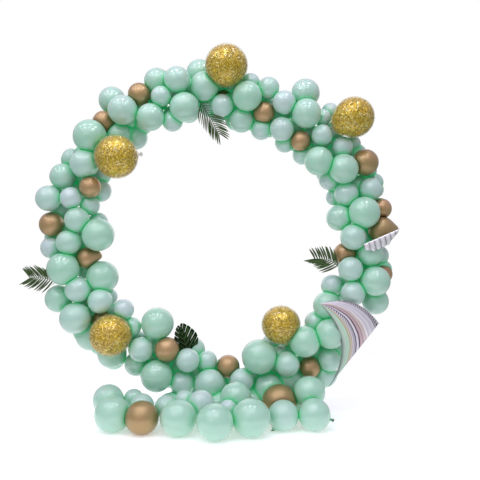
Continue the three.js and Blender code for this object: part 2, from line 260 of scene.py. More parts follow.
def take(*objects: bpy.types.Object) -> bpy.types.Object:
    """Selects only these objects and makes the first one active.

    Args:
        objects: What the next operator should act on.

    Returns:
        The active object.
    """
    deselect_all()
    for item in objects:
        item.select_set(True)
    bpy.context.view_layer.objects.active = objects[0]
    return objects[0]


def points_of(mesh: bpy.types.Mesh) -> np.ndarray:
    """Reads a mesh's corners.

    Args:
        mesh: The mesh.

    Returns:
        One row of x, y and z for each corner.
    """
    flat = np.zeros(len(mesh.vertices) * 3)
    mesh.vertices.foreach_get("co", flat)
    return flat.reshape(-1, 3)


def move_points(mesh: bpy.types.Mesh, points: np.ndarray) -> None:
    """Puts a mesh's corners at new places.

    Args:
        mesh: The mesh to reshape.
        points: One row of x, y and z for each corner.
    """
    mesh.vertices.foreach_set("co", np.asarray(points, np.float32).ravel())
    mesh.update()


def paint(mesh: bpy.types.Mesh, name: str, values: np.ndarray | float) -> None:
    """Stores a number for each corner of a mesh, for its material to read.

    Args:
        mesh: The mesh that holds the numbers.
        name: The attribute's name.
        values: One number for each corner, or one for all.
    """
    layer = mesh.attributes.get(name) or mesh.attributes.new(name, "FLOAT", "POINT")
    filled = np.broadcast_to(np.asarray(values, np.float32), len(mesh.vertices))
    layer.data.foreach_set("value", np.ascontiguousarray(filled))


def own_copy(pattern: bpy.types.Object, name: str) -> bpy.types.Object:
    """Copies an object together with its mesh.

    Args:
        pattern: The object to repeat.
        name: The copy's name.

    Returns:
        The copy, linked to the scene.
    """
    copy = pattern.copy()
    copy.data = pattern.data.copy()
    copy.name = name
    copy.data.name = name
    bpy.context.scene.collection.objects.link(copy)
    return copy


def join(parts: Sequence[bpy.types.Object], name: str) -> bpy.types.Object:
    """Joins objects into one.

    Args:
        parts: The objects to join; the first one takes the others in.
        name: The joined object's name.

    Returns:
        The joined object.
    """
    whole = take(*parts)
    if len(parts) > 1:
        bpy.ops.object.join()
    whole.name = name
    whole.data.name = name
    return whole


def remove(thing: bpy.types.Object) -> None:
    """Deletes an object and its mesh.

    Args:
        thing: The object.
    """
    mesh = thing.data
    bpy.data.objects.remove(thing)
    bpy.data.meshes.remove(mesh)


def smooth(thing: bpy.types.Object, angle: float | None = None) -> None:
    """Shades an object smooth.

    Args:
        thing: The object.
        angle: Edges sharper than this, in degrees, stay sharp; None smooths them all.
    """
    take(thing)
    if angle is None:
        bpy.ops.object.shade_smooth()
    else:
        bpy.ops.object.shade_smooth_by_angle(angle=math.radians(angle))


class Part(Enum):
    """A kind of part that a mesh is made of."""

    CORNERS = "verts"
    EDGES = "edges"
    FACES = "faces"


def edit_chosen(thing: bpy.types.Object, part: Part, is_chosen: Callable[..., bool]) -> None:
    """Opens an object for editing with only the chosen parts of it selected.

    Args:
        thing: The object.
        part: The kind of part to choose from.
        is_chosen: Tells of one such part whether it is chosen.
    """
    take(thing)
    bpy.ops.object.mode_set(mode="EDIT")
    bpy.ops.mesh.select_all(action="DESELECT")
    shape = bmesh.from_edit_mesh(thing.data)
    for item in getattr(shape, part.value):
        if is_chosen(item):
            item.select_set(True)
    bmesh.update_edit_mesh(thing.data)


def face_out(thing: bpy.types.Object, merge: float) -> None:
    """Merges doubled corners and turns the faces of a closed mesh outwards.

    Args:
        thing: The object.
        merge: Corners nearer than this, in metres, become one.
    """
    take(thing)
    bpy.ops.object.mode_set(mode="EDIT")
    bpy.ops.mesh.select_all(action="SELECT")
    bpy.ops.mesh.remove_doubles(threshold=merge)
    bpy.ops.mesh.normals_make_consistent(inside=False)
    bpy.ops.object.mode_set(mode="OBJECT")


def dress(
    thing: bpy.types.Object,
    material: bpy.types.Material,
    nodes: Iterable[str],
) -> None:
    """Gives a finished piece its material and its place in the row.

    Args:
        thing: The piece.
        material: Its finish.
        nodes: The construction nodes that it stands for.
    """
    thing.data.materials.clear()
    thing.data.materials.append(material)
    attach(thing, ROOT)
    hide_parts(*nodes)
    triangles = sum(len(face.vertices) - 2 for face in thing.data.polygons)
    log.info("%s: %d triangles", thing.name, triangles)


# ---------------------------------------------------------------------------
# Materials
# ---------------------------------------------------------------------------


def srgb(red: int, green: int, blue: int) -> Colour:
    """Turns a colour as it looks on a screen into a linear one.

    Args:
        red: Its red, from 0 to 255.
        green: Its green.
        blue: Its blue.

    Returns:
        The linear colour, from 0 to 1.
    """

    def linear(value: int) -> float:
        """Turns one part of the colour."""
        share = value / 255
        return share / 12.92 if share <= 0.04045 else ((share + 0.055) / 1.055) ** 2.4

    return linear(red), linear(green), linear(blue)


class Desk:
    """Lays out the nodes of one tree.

    Args:
        tree: A material's tree or a node group.
    """

    # A Mix node's colour sockets, whose names its other kinds of socket share
    MIX_FIRST, MIX_SECOND, MIX_RESULT = 6, 7, 2

    def __init__(self, tree: bpy.types.NodeTree) -> None:
        """Starts on a tree."""
        self.tree = tree

    def node(self, kind: str, **settings: object) -> bpy.types.Node:
        """Adds a node.

        Args:
            kind: The node's type.
            settings: Its properties by name.

        Returns:
            The node.
        """
        made = self.tree.nodes.new(kind)
        for name, value in settings.items():
            setattr(made, name, value)
        return made

    def feed(self, value: object, socket: bpy.types.NodeSocket) -> None:
        """Links a socket to an input, or sets the input to a plain value.

        Args:
            value: A socket, a colour or a number.
            socket: The input.
        """
        if isinstance(value, bpy.types.NodeSocket):
            self.tree.links.new(value, socket)
        elif isinstance(value, tuple) and len(value) == 3 and socket.type == "RGBA":
            socket.default_value = (*value, 1.0)
        else:
            socket.default_value = value

    def place(self) -> bpy.types.NodeSocket:
        """Gives the place on the piece, in metres."""
        return self.node("ShaderNodeTexCoord").outputs["Object"]

    def number(self, name: str) -> bpy.types.NodeSocket:
        """Gives a number that the mesh stores for each corner."""
        return self.node("ShaderNodeAttribute", attribute_name=name).outputs["Fac"]

    def noise(self, at: object, scale: object, detail: float = 2.0) -> bpy.types.NodeSocket:
        """Gives soft noise from 0 to 1.

        Args:
            at: The place to read it at.
            scale: How many blotches a metre holds.
            detail: How many finer layers it has.

        Returns:
            The noise's value.
        """
        made = self.node("ShaderNodeTexNoise")
        self.feed(at, made.inputs["Vector"])
        self.feed(scale, made.inputs["Scale"])
        made.inputs["Detail"].default_value = detail
        return made.outputs["Fac"]

    def math(self, operation: str, *values: object, clamp: bool = False) -> bpy.types.NodeSocket:
        """Works out a number.

        Args:
            operation: The Math node's operation.
            values: Sockets or numbers to work on.
            clamp: Whether the result stays between 0 and 1.

        Returns:
            The result.
        """
        made = self.node("ShaderNodeMath", operation=operation, use_clamp=clamp)
        for value, socket in zip(values, made.inputs):
            self.feed(value, socket)
        return made.outputs["Value"]

    def blend(self, share: object, first: object, second: object) -> bpy.types.NodeSocket:
        """Mixes two colours.

        Args:
            share: 0 for the first one, 1 for the second.
            first: A colour or a socket.
            second: A colour or a socket.

        Returns:
            The mixed colour.
        """
        made = self.node("ShaderNodeMix", data_type="RGBA", clamp_factor=True)
        self.feed(share, made.inputs["Factor"])
        self.feed(first, made.inputs[self.MIX_FIRST])
        self.feed(second, made.inputs[self.MIX_SECOND])
        return made.outputs[self.MIX_RESULT]

    def between(self, value: object, low: float, high: float) -> bpy.types.NodeSocket:
        """Stretches a number that runs from 0 to 1.

        Args:
            value: The number.
            low: What 0 becomes.
            high: What 1 becomes.

        Returns:
            The stretched number.
        """
        made = self.node("ShaderNodeMapRange")
        self.feed(value, made.inputs["Value"])
        made.inputs["To Min"].default_value = low
        made.inputs["To Max"].default_value = high
        return made.outputs["Result"]

    def ramp(self, value: object, stops: Sequence[Stop]) -> bpy.types.NodeSocket:
        """Turns a number into a colour.

        Args:
            value: The number, from 0 to 1.
            stops: Places and their colours, in order.

        Returns:
            The colour.
        """
        made = self.node("ShaderNodeValToRGB")
        band = made.color_ramp
        for index, (at, colour) in enumerate(stops):
            stop = band.elements[index] if index < 2 else band.elements.new(at)
            stop.position = at
            stop.color = (*colour, 1.0)
        self.feed(value, made.inputs["Fac"])
        return made.outputs["Color"]

    def bump(self, height: object, distance: float, strength: float) -> bpy.types.NodeSocket:
        """Turns a height into a normal.

        Args:
            height: The height, from 0 to 1.
            distance: How deep the relief is, in metres.
            strength: How strongly it shows.

        Returns:
            The normal.
        """
        made = self.node("ShaderNodeBump")
        made.inputs["Distance"].default_value = distance
        made.inputs["Strength"].default_value = strength
        self.feed(height, made.inputs["Height"])
        return made.outputs["Normal"]


class FilmGroup:
    """The uneven look of a thin film, shared by latex, foil and leaves."""

    NAME = "thin_film"

    def tree(self) -> bpy.types.NodeTree:
        """Builds the group once.

        Returns:
            The group: Cloud Scale and Grain Scale in, Cloud, Grain and Height out.
        """
        found = bpy.data.node_groups.get(self.NAME)
        if found:
            return found
        tree = bpy.data.node_groups.new(self.NAME, "ShaderNodeTree")
        for name, value in (("Cloud Scale", 6.0), ("Grain Scale", 220.0)):
            socket = tree.interface.new_socket(name, in_out="INPUT", socket_type="NodeSocketFloat")
            socket.default_value = value
        for name in ("Cloud", "Grain", "Height"):
            tree.interface.new_socket(name, in_out="OUTPUT", socket_type="NodeSocketFloat")
        desk = Desk(tree)
        given = desk.node("NodeGroupInput").outputs
        out = desk.node("NodeGroupOutput").inputs
        place = desk.place()
        cloud = desk.noise(place, given["Cloud Scale"], 3.0)
        grain = desk.noise(place, given["Grain Scale"], 2.0)
        desk.feed(cloud, out["Cloud"])
        desk.feed(grain, out["Grain"])
        desk.feed(desk.math("MULTIPLY_ADD", grain, 0.25, cloud), out["Height"])
        return tree


class Finish:
    """A material with a Principled shader and the shared film group.

    Args:
        name: The material's name.
        plain: The shader's plain values by socket name.
    """

    def __init__(self, name: str, plain: dict[str, object]) -> None:
        """Makes the material and sets its plain values."""
        self.material = bpy.data.materials.new(name)
        self.material.use_nodes = True
        self.desk = Desk(self.material.node_tree)
        self.shader = self.material.node_tree.nodes["Principled BSDF"]
        for socket, value in plain.items():
            self.desk.feed(value, self.shader.inputs[socket])

    def film(self, cloud_scale: float, grain_scale: float) -> bpy.types.NodeOutputs:
        """Adds the film group.

        Args:
            cloud_scale: How many soft clouds a metre holds.
            grain_scale: How many fine grains a metre holds.

        Returns:
            Its outputs: Cloud, Grain and Height.
        """
        group = self.desk.node("ShaderNodeGroup", node_tree=FilmGroup().tree())
        group.inputs["Cloud Scale"].default_value = cloud_scale
        group.inputs["Grain Scale"].default_value = grain_scale
        return group.outputs

    def set(self, socket: str, value: object) -> None:
        """Feeds one of the shader's sockets."""
        self.desk.feed(value, self.shader.inputs[socket])


@dataclass(frozen=True)
class MintLatex:
    """Pastel latex: greener where drawn in to its neck; painted shade and a painted green glow in
    the crevices between balloons, and a painted rim light towards its outline.
    """

    pale: Colour = srgb(168, 214, 190)
    cool: Colour = srgb(200, 216, 217)
    # rim is a painted rim light; deep is both the green of drawn-in latex and the painted crevice
    # shade; glow is a painted bounce light in the crevices.
    rim: Colour = srgb(226, 240, 228)
    deep: Colour = srgb(50, 196, 118)
    glow: Colour = (0.0, 0.12, 0.04)
    knot: Colour = srgb(24, 84, 58)

    def build(self) -> bpy.types.Material:
        """Makes the material.

        Returns:
            The finished material.
        """
        finish = Finish(
            "mint_latex",
            {
                "Subsurface Weight": 0.35,
                "Subsurface Radius": (0.4, 1.0, 0.7),
                "Subsurface Scale": 0.04,
                "Specular IOR Level": 0.25,
                "Coat Weight": 1.0,
                "Coat Roughness": 0.025,
                "Coat IOR": 1.75,
                "Emission Strength": 1.0,
            },
        )
        desk = finish.desk
        film = finish.film(7.0, 260.0)
        own = desk.blend(desk.number("tint"), self.pale, self.cool)
        # Painted shade: the colour deepens towards deep in the crevices between balloons, as it
        # does where the latex is drawn in.
        pressed = desk.math("MULTIPLY", desk.number("crevice_shade"), 0.85)
        drawn = desk.math("MULTIPLY", desk.number("drawn_in"), 0.8)
        gathered = desk.blend(desk.math("MAXIMUM", pressed, drawn), own, self.deep)
        colour = desk.blend(desk.number("knot"), gathered, self.knot)
        mottled = desk.blend(desk.between(film["Cloud"], 0.0, 0.16), colour, self.cool)
        # Painted rim light: paler towards the outline, but not in the crevices.
        outline = desk.math("POWER", desk.node("ShaderNodeLayerWeight").outputs["Facing"], 6.0)
        free = desk.math("SUBTRACT", 0.6, desk.number("crevice_shade"))
        painted_rim_light = desk.math("MULTIPLY", outline, free, clamp=True)
        finish.set("Base Color", desk.blend(painted_rim_light, mottled, self.rim))
        # Painted bounce light: the crevices glow a faint green.
        glow = desk.blend(desk.number("crevice_shade"), (0.0, 0.0, 0.0), self.glow)
        finish.set("Emission Color", glow)
        finish.set("Roughness", desk.between(film["Cloud"], 0.3, 0.44))
        finish.set("Normal", desk.bump(film["Height"], 0.0006, 0.25))
        return finish.material


@dataclass(frozen=True)
class GoldLatex:
    """Metallic latex in a brownish gold, darker where drawn in to its neck, with painted shade in
    the crevices between balloons.
    """

    bright: Colour = srgb(174, 146, 98)
    warm: Colour = srgb(196, 158, 114)
    # dark is both the drawn-in neck and the painted crevice shade.
    dark: Colour = srgb(112, 82, 44)

    def build(self) -> bpy.types.Material:
        """Makes the material.

        Returns:
            The finished material.
        """
        finish = Finish(
            "gold_latex", {"Metallic": 0.65, "Coat Weight": 0.7, "Coat Roughness": 0.09}
        )
        desk = finish.desk
        film = finish.film(9.0, 320.0)
        own = desk.blend(desk.number("tint"), self.bright, self.warm)
        # Painted shade: darker in the crevices between balloons, as where the latex is drawn in.
        pressed = desk.math("MULTIPLY", desk.number("crevice_shade"), 0.85)
        colour = desk.blend(
            desk.math("MAXIMUM", pressed, desk.number("drawn_in")), own, self.dark
        )
        clouded = desk.blend(desk.between(film["Cloud"], 0.0, 0.15), colour, self.warm)
        finish.set("Base Color", clouded)
        finish.set("Roughness", desk.between(film["Cloud"], 0.4, 0.52))
        finish.set("Normal", desk.bump(film["Height"], 0.0005, 0.3))
        return finish.material


@dataclass(frozen=True)
class ClearLatex:
    """Clear latex with a warm yellow haze, browner where drawn in and with painted shade in the
    crevices; paler at its outline, where the skin is seen edge-on, with painted rim light.
    """

    haze: Colour = srgb(240, 204, 66)
    # rim is the skin seen edge-on with a painted rim light; drawn is both the drawn-in neck and
    # the painted crevice shade.
    rim: Colour = srgb(255, 248, 210)
    drawn: Colour = srgb(196, 152, 52)
    knot: Colour = srgb(52, 38, 18)

    def build(self) -> bpy.types.Material:
        """Makes the material.

        Returns:
            The finished material.
        """
        finish = Finish(
            "clear_latex", {"Alpha": 0.34, "Coat Weight": 1.0, "Coat Roughness": 0.03, "IOR": 1.6}
        )
        desk = finish.desk
        film = finish.film(11.0, 300.0)
        # Painted shade in the crevices between balloons, with the real browning where the skin is
        # drawn in.
        gathered = desk.math("MAXIMUM", desk.number("crevice_shade"), desk.number("drawn_in"))
        drawn = desk.blend(gathered, self.haze, self.drawn)
        haze = desk.blend(desk.number("knot"), drawn, self.knot)
        # Paler towards the outline: the skin seen edge-on, with painted rim light.
        edge = desk.node("ShaderNodeLayerWeight").outputs["Facing"]
        finish.set("Base Color", desk.blend(desk.math("POWER", edge, 2.5), haze, self.rim))
        finish.set("Roughness", desk.between(film["Cloud"], 0.06, 0.16))
        finish.set("Normal", desk.bump(film["Height"], 0.0004, 0.2))
        return finish.material


@dataclass(frozen=True)
class GoldConfetti:
    """Foil flakes, from dark bronze through gold to nearly white."""

    stops: tuple[Stop, ...] = (
        (0.0, srgb(78, 40, 4)),
        (0.12, srgb(124, 76, 10)),
        (0.3, srgb(204, 166, 40)),
        (0.75, srgb(240, 210, 66)),
        (0.92, srgb(252, 236, 130)),
        (1.0, srgb(255, 250, 214)),
    )

    def build(self) -> bpy.types.Material:
        """Makes the material.

        Returns:
            The finished material.
        """
        finish = Finish("gold_confetti", {"Metallic": 0.75})
        desk = finish.desk
        film = finish.film(18.0, 900.0)
        shade = desk.math("ADD", desk.number("shade"), desk.between(film["Cloud"], -0.12, 0.12))
        finish.set("Base Color", desk.ramp(shade, self.stops))
        finish.set("Roughness", desk.between(film["Grain"], 0.16, 0.36))
        return finish.material


@dataclass(frozen=True)
class GoldDust:
    """Fine gold dust on the inside of a clear skin, clouded and glittering."""

    stops: tuple[Stop, ...] = (
        (0.0, srgb(74, 46, 6)),
        (0.25, srgb(160, 116, 12)),
        (0.55, srgb(234, 196, 36)),
        (0.8, srgb(255, 236, 96)),
        (1.0, srgb(255, 248, 180)),
    )

    def build(self) -> bpy.types.Material:
        """Makes the material.

        Returns:
            The finished material.
        """
        finish = Finish("gold_dust", {"Metallic": 0.7, "Coat Weight": 0.9, "Coat Roughness": 0.08})
        desk = finish.desk
        film = finish.film(9.0, 200.0)
        cloud = desk.between(film["Cloud"], 0.0, 1.0)
        glitter = desk.between(film["Grain"], -0.34, 0.42)
        finish.set("Base Color", desk.ramp(desk.math("ADD", cloud, glitter), self.stops))
        finish.set("Roughness", desk.between(film["Grain"], 0.14, 0.28))
        finish.set("Normal", desk.bump(film["Grain"], 0.003, 0.3))
        return finish.material


@dataclass(frozen=True)
class LeafGreen:
    """Dark leaf: each blade has its own green, with a paler middle vein and tip."""

    stops: tuple[Stop, ...] = (
        (0.0, srgb(8, 22, 6)),
        (0.4, srgb(10, 36, 10)),
        (0.75, srgb(26, 66, 22)),
        (1.0, srgb(92, 130, 74)),
    )
    vein: Colour = srgb(120, 142, 92)

    def build(self) -> bpy.types.Material:
        """Makes the material.

        Returns:
            The finished material.
        """
        finish = Finish("leaf_green", {"Specular IOR Level": 0.1})
        desk = finish.desk
        film = finish.film(40.0, 500.0)
        shade = desk.math("ADD", desk.number("shade"), desk.between(film["Cloud"], -0.2, 0.2))
        blade = desk.ramp(shade, self.stops)
        finish.set("Base Color", desk.blend(desk.number("vein"), blade, self.vein))
        finish.set("Roughness", desk.between(film["Grain"], 0.45, 0.65))
        finish.set("Normal", desk.bump(film["Grain"], 0.0004, 0.5))
        return finish.material


@dataclass(frozen=True)
class MarbledFoil:
    """Glossy foil printed with marbled bands that fan out from its tip; a painted reflection of
    mint balloons lies near its inner seam, and painted highlight streaks cross its pale part.
    """

    stops: tuple[Stop, ...] = (
        (0.0, srgb(158, 156, 158)),
        (0.02, srgb(74, 84, 78)),
        (0.045, srgb(170, 178, 172)),
        # 0.07 to 0.29: painted reflection of the mint balloons beside the foil.
        (0.07, srgb(140, 166, 150)),
        (0.16, srgb(186, 198, 188)),
        (0.24, srgb(164, 206, 178)),
        (0.29, srgb(184, 214, 194)),
        (0.33, srgb(172, 142, 108)),
        (0.36, srgb(206, 210, 192)),
        (0.395, srgb(176, 146, 116)),
        (0.42, srgb(232, 226, 236)),
        (0.495, srgb(226, 218, 230)),
        (0.503, srgb(50, 30, 56)),
        (0.52, srgb(60, 38, 66)),
        (0.53, srgb(236, 230, 238)),
        (0.578, srgb(224, 214, 226)),
        (0.586, srgb(52, 32, 58)),
        (0.604, srgb(66, 42, 70)),
        (0.616, srgb(204, 172, 178)),
        (0.66, srgb(210, 182, 188)),
        (0.675, srgb(142, 112, 128)),
        (0.69, srgb(222, 204, 196)),
        (0.74, srgb(212, 190, 194)),
        # The white stripe at 0.765 is a painted highlight streak; the paler stripes up to 0.92
        # carry painted highlights over the pale lilac print.
        (0.765, srgb(255, 252, 255)),
        (0.79, srgb(208, 198, 210)),
        (0.84, srgb(236, 232, 240)),
        (0.87, srgb(206, 198, 210)),
        (0.92, srgb(226, 222, 230)),
        (0.935, srgb(124, 116, 126)),
        (0.95, srgb(220, 216, 222)),
        (0.985, srgb(210, 204, 212)),
        (1.0, srgb(110, 104, 112)),
    )
    tick: Colour = srgb(70, 50, 76)
    tick_pitch: float = 175.0
    tick_rows: tuple[tuple[float, float], ...] = ((0.465, 0.042), (0.97, 0.02))

    def build(self) -> bpy.types.Material:
        """Makes the material.

        Returns:
            The finished material.
        """
        finish = Finish(
            "marbled_foil", {"Metallic": 0.2, "Coat Weight": 0.7, "Coat Roughness": 0.07}
        )
        desk = finish.desk
        film = finish.film(9.0, 60.0)
        sway = desk.between(film["Cloud"], -0.03, 0.03)
        fine = desk.between(film["Grain"], -0.008, 0.008)
        band = desk.math("ADD", desk.math("ADD", desk.number("band"), sway), fine)
        wave = desk.math("SINE", desk.math("MULTIPLY", desk.number("along"), self.tick_pitch))
        narrow = desk.math("MULTIPLY_ADD", wave, 3.0, 0.2, clamp=True)
        rows = []
        for middle, half_width in self.tick_rows:
            away = desk.math("ABSOLUTE", desk.math("SUBTRACT", band, middle))
            rows.append(desk.math("MULTIPLY_ADD", away, -1 / half_width, 1.4, clamp=True))
        ticks = desk.math("MULTIPLY", narrow, desk.math("MAXIMUM", *rows))
        finish.set("Base Color", desk.blend(ticks, desk.ramp(band, self.stops), self.tick))
        finish.set("Roughness", desk.between(film["Grain"], 0.14, 0.3))
        finish.set("Normal", desk.bump(film["Height"], 0.002, 0.3))
        return finish.material


@dataclass(frozen=True)
class PearlFoil:
    """Pearly foil: white on the puffs, with painted shade in the seams between them."""

    stops: tuple[Stop, ...] = (
        # The low end is painted shade in the seams between the puffs.
        (0.0, srgb(92, 86, 94)),
        (0.16, srgb(150, 144, 152)),
        (0.42, srgb(210, 204, 212)),
        (1.0, srgb(240, 238, 240)),
    )

    def build(self) -> bpy.types.Material:
        """Makes the material.

        Returns:
            The finished material.
        """
        finish = Finish(
            "pearl_foil", {"Metallic": 0.35, "Coat Weight": 0.5, "Coat Roughness": 0.1}
        )
        desk = finish.desk
        film = finish.film(24.0, 120.0)
        puff = desk.math("ADD", desk.number("puff"), desk.between(film["Cloud"], -0.15, 0.15))
        finish.set("Base Color", desk.ramp(puff, self.stops))
        finish.set("Roughness", desk.between(film["Grain"], 0.18, 0.34))
        finish.set("Normal", desk.bump(film["Height"], 0.001, 0.4))
        return finish.material


# ---------------------------------------------------------------------------
# Balloons
# ---------------------------------------------------------------------------


class Latex(Enum):
    """What a balloon is made of, by the record's slot name."""

    MINT = "mint_latex"
    GOLD = "gold_latex"
    CLEAR = "clear_latex"


@dataclass(frozen=True)
class BalloonSizes:
    """Sizes that all the balloons share.

    Attributes:
        neck_reach: From a balloon's centre to a plain neck's knot, as a share of its radius.
        press_blend: How softly a pressed patch ends, as a share of the radius.
        least_offset: How near to its centre a balloon may be pressed, as that share.
        contact_gap: Between two balloons that touch, in metres.
        crevice_shade_depth: How far from a neighbour the painted crevice shade still reaches, in
            metres.
        near: Which neighbours count for that, in metres.
    """

    neck_reach: float = 1.09
    press_blend: float = 0.07
    least_offset: float = 0.3
    contact_gap: float = 0.0003
    crevice_shade_depth: float = 0.017
    near: float = 0.08


SIZES = BalloonSizes()


@dataclass
class Ball:
    """One balloon.

    Attributes:
        node: The construction node that it belongs to.
        latex: What it is made of.
        centre: Its centre, in metres.
        radius: Its radius, in metres.
        shape: How it is drawn out to its neck.
        neck: Unit direction of its neck.
        is_rear: Whether it only fills in behind the others and gives way to them.
        tint: Its own shade, from 0 to 1.
    """

    node: str
    latex: Latex
    centre: np.ndarray
    radius: float
    shape: Neck = Neck(0.0, SIZES.neck_reach)
    neck: np.ndarray = field(default_factory=lambda: np.array((0.0, 1.0, 0.0)))
    is_rear: bool = False
    tint: float = 0.5


@dataclass(frozen=True)
class RearRow:
    """The balloons packed behind the ring, in millimetres and degrees.

    Attributes:
        step: Clock angle from one to the next.
        diameter: Their diameter.
        forward: Their centres, forward of the ring line.
        margin: How much they stay inside the edges of the band.
        outward: How much further out they stand than those in front.
        overlap: How deep in another balloon one may be centred.
        past: How far one may show past the outline of those in front.
        sizes: The shares of the diameter to try, largest first.
    """

    step: float = 7.0
    diameter: float = 164.0
    forward: float = -70.0
    margin: float = 20.0
    outward: float = 26.0
    overlap: float = 66.0
    past: float = 13.0
    sizes: tuple[float, ...] = (1.0, 0.88, 0.76)


class Layout:
    """Every balloon of the garland, in its place.

    Args:
        ring: Where the ring stands.
    """

    NEIGHBOURS_AT_NECK = 5
    NECK_BACK = 0.7
    RIM_POINTS = 24
    SMALLEST, SIZE_RANGE = 0.065, 0.045
    TINT_SPREAD = 0.3

    def __init__(self, ring: RingFrame) -> None:
        """Places, turns and tints the balloons."""
        self.ring = ring
        self.rear = RearRow()
        self.balls: list[Ball] = []
        self._add_mint()
        self._add_gold()
        for node, spot in CONFETTI_BALLOONS.items():
            self._add(node, Latex.CLEAR, spot, ring.on_ring)
        self._add_rear()
        self._point_necks()
        draw = np.random.default_rng(SEED)
        for ball in self.balls:
            smallness = 1 - (ball.radius - self.SMALLEST) / self.SIZE_RANGE
            chance = draw.uniform(-self.TINT_SPREAD, self.TINT_SPREAD)
            ball.tint = float(np.clip(smallness + chance, 0, 1))

    def _add(self, node: str, latex: Latex, spot: Spot, place: Callable[..., np.ndarray]) -> None:
        """Adds one balloon by its spot and the way that the spot is read."""
        self.balls.append(Ball(node, latex, place(*spot[:3]), spot[3] / 2 * MM))

    def _add_mint(self) -> None:
        """Adds the mint clusters of the ring and of the tail."""
        for index, spots in enumerate((*RING_CLUSTERS, *TAIL_CLUSTERS), start=1):
            place = self.ring.on_ring if index <= len(RING_CLUSTERS) else self.ring.on_floor
            for spot in spots:
                self._add(f"mint_cluster_{index:02d}", Latex.MINT, spot, place)

    def _add_gold(self) -> None:
        """Adds the gold balloons of the ring and of the tail."""
        for index, spot in enumerate((*RING_GOLD, *TAIL_GOLD), start=1):
            place = self.ring.on_ring if index <= len(RING_GOLD) else self.ring.on_floor
            self._add(f"gold_balloon_{index:02d}", Latex.GOLD, spot, place)

    def _add_rear(self) -> None:
        """Adds three rows and single balloons behind the ring, and a few behind the tail."""
        for clock in np.arange(0, 360, self.rear.step):
            inner, outer = self._band(float(clock))
            reach = max((outer - inner) / 2 - self.rear.diameter / 2 - self.rear.margin, 0)
            for side in (-1, 0, 1):
                out = (inner + outer) / 2 + side * reach
                turn = float(clock) + abs(side) * self.rear.step / 2
                radius = self._hidden_radius(self.ring.on_ring(turn, out, 0))
                centre = self.ring.on_ring(turn, out + self.rear.outward, self.rear.forward)
                if radius and self.clearance(centre[None])[0] > -self.rear.overlap * MM:
                    self._add_behind(centre, radius)
        for spot in RING_REAR:
            self._add_behind(self.ring.on_ring(*spot[:3]), spot[3] / 2 * MM)
        for spot in TAIL_REAR:
            self._add_behind(self.ring.on_floor(*spot[:3]), spot[3] / 2 * MM)

    def _hidden_radius(self, middle: np.ndarray) -> float:
        """Finds the largest rear balloon that those in front of a point hide.

        Args:
            middle: The point, in metres.

        Returns:
            The balloon's radius, in metres, or 0 where none is hidden.
        """
        turns = np.linspace(0, 2 * np.pi, self.RIM_POINTS, endpoint=False)
        circle = np.stack((np.cos(turns), np.zeros(self.RIM_POINTS), np.sin(turns)), axis=1)
        in_front = [ball for ball in self.balls if not ball.is_rear]
        for share in self.rear.sizes:
            radius = share * self.rear.diameter / 2 * MM
            rim = middle + circle * radius
            gaps = [
                np.hypot(*(rim - ball.centre)[:, ::2].T) - ball.radius for ball in in_front
            ]
            past = np.min(gaps, axis=0)
            if past.max() < self.rear.past * MM:
                return radius
        return 0.0

    def _add_behind(self, centre: np.ndarray, radius: float) -> None:
        """Adds a mint balloon that gives way to the others, to the nearest cluster.

        Args:
            centre: Its centre, in metres.
            radius: Its radius, in metres.
        """
        mint = [ball for ball in self.balls if ball.latex is Latex.MINT and not ball.is_rear]
        nearest = min(mint, key=lambda ball: float(np.linalg.norm(ball.centre - centre)))
        self.balls.append(Ball(nearest.node, Latex.MINT, centre, radius, is_rear=True))

    def _band(self, clock: float) -> tuple[float, float]:
        """Finds how far in and out the balloons of the ring reach near a clock angle.

        Args:
            clock: The angle, in degrees.

        Returns:
            The inner and the outer edge, from the ring line.
        """
        inner, outer = [], []
        for spots in (*RING_CLUSTERS, RING_GOLD):
            for angle, out, _, diameter in spots:
                if abs((angle - clock + 180) % 360 - 180) < self.rear.step:
                    inner.append(out - diameter / 2)
                    outer.append(out + diameter / 2)
        return min(inner), max(outer)

    def _point_necks(self) -> None:
        """Turns each neck to the middle of the bunch, or as SHOWN_NECKS says."""
        centres = np.array([ball.centre for ball in self.balls])
        count: dict[str, int] = {}
        for ball in self.balls:
            index = count[ball.node] = count.get(ball.node, -1) + 1
            shown = SHOWN_NECKS.get((ball.node, index))
            if shown:
                angle = math.radians(shown.clock)
                toward = np.array((math.sin(angle), 0.0, math.cos(angle)))
                ball.shape = shown
            else:
                order = np.argsort(np.linalg.norm(centres - ball.centre, axis=1))
                toward = centres[order[: self.NEIGHBOURS_AT_NECK]].mean(0) - ball.centre
                toward[1] += self.NECK_BACK * ball.radius
            ball.neck = toward / np.linalg.norm(toward)

    def near(self, ball: Ball, room: float) -> list[Ball]:
        """Lists the neighbours of a balloon.

        Args:
            ball: The balloon.
            room: How near their skin has to come to its skin, in metres.

        Returns:
            The neighbours.
        """
        limit = ball.radius * ball.shape.reach + room
        return [
            other
            for other in self.balls
            if other is not ball
            and float(np.linalg.norm(other.centre - ball.centre)) < limit + other.radius
        ]

    def clearance(self, points: np.ndarray, but: Ball | None = None) -> np.ndarray:
        """Measures how far points are outside the nearest balloon.

        Args:
            points: Rows of x, y and z.
            but: A balloon to leave out.

        Returns:
            The distances, in metres; inside a balloon they are negative.
        """
        best = np.full(len(points), np.inf)
        for ball in self.near(but, SIZES.near) if but else self.balls:
            gap = np.linalg.norm(points - ball.centre, axis=1) - ball.radius
            best = np.minimum(best, gap)
        return best


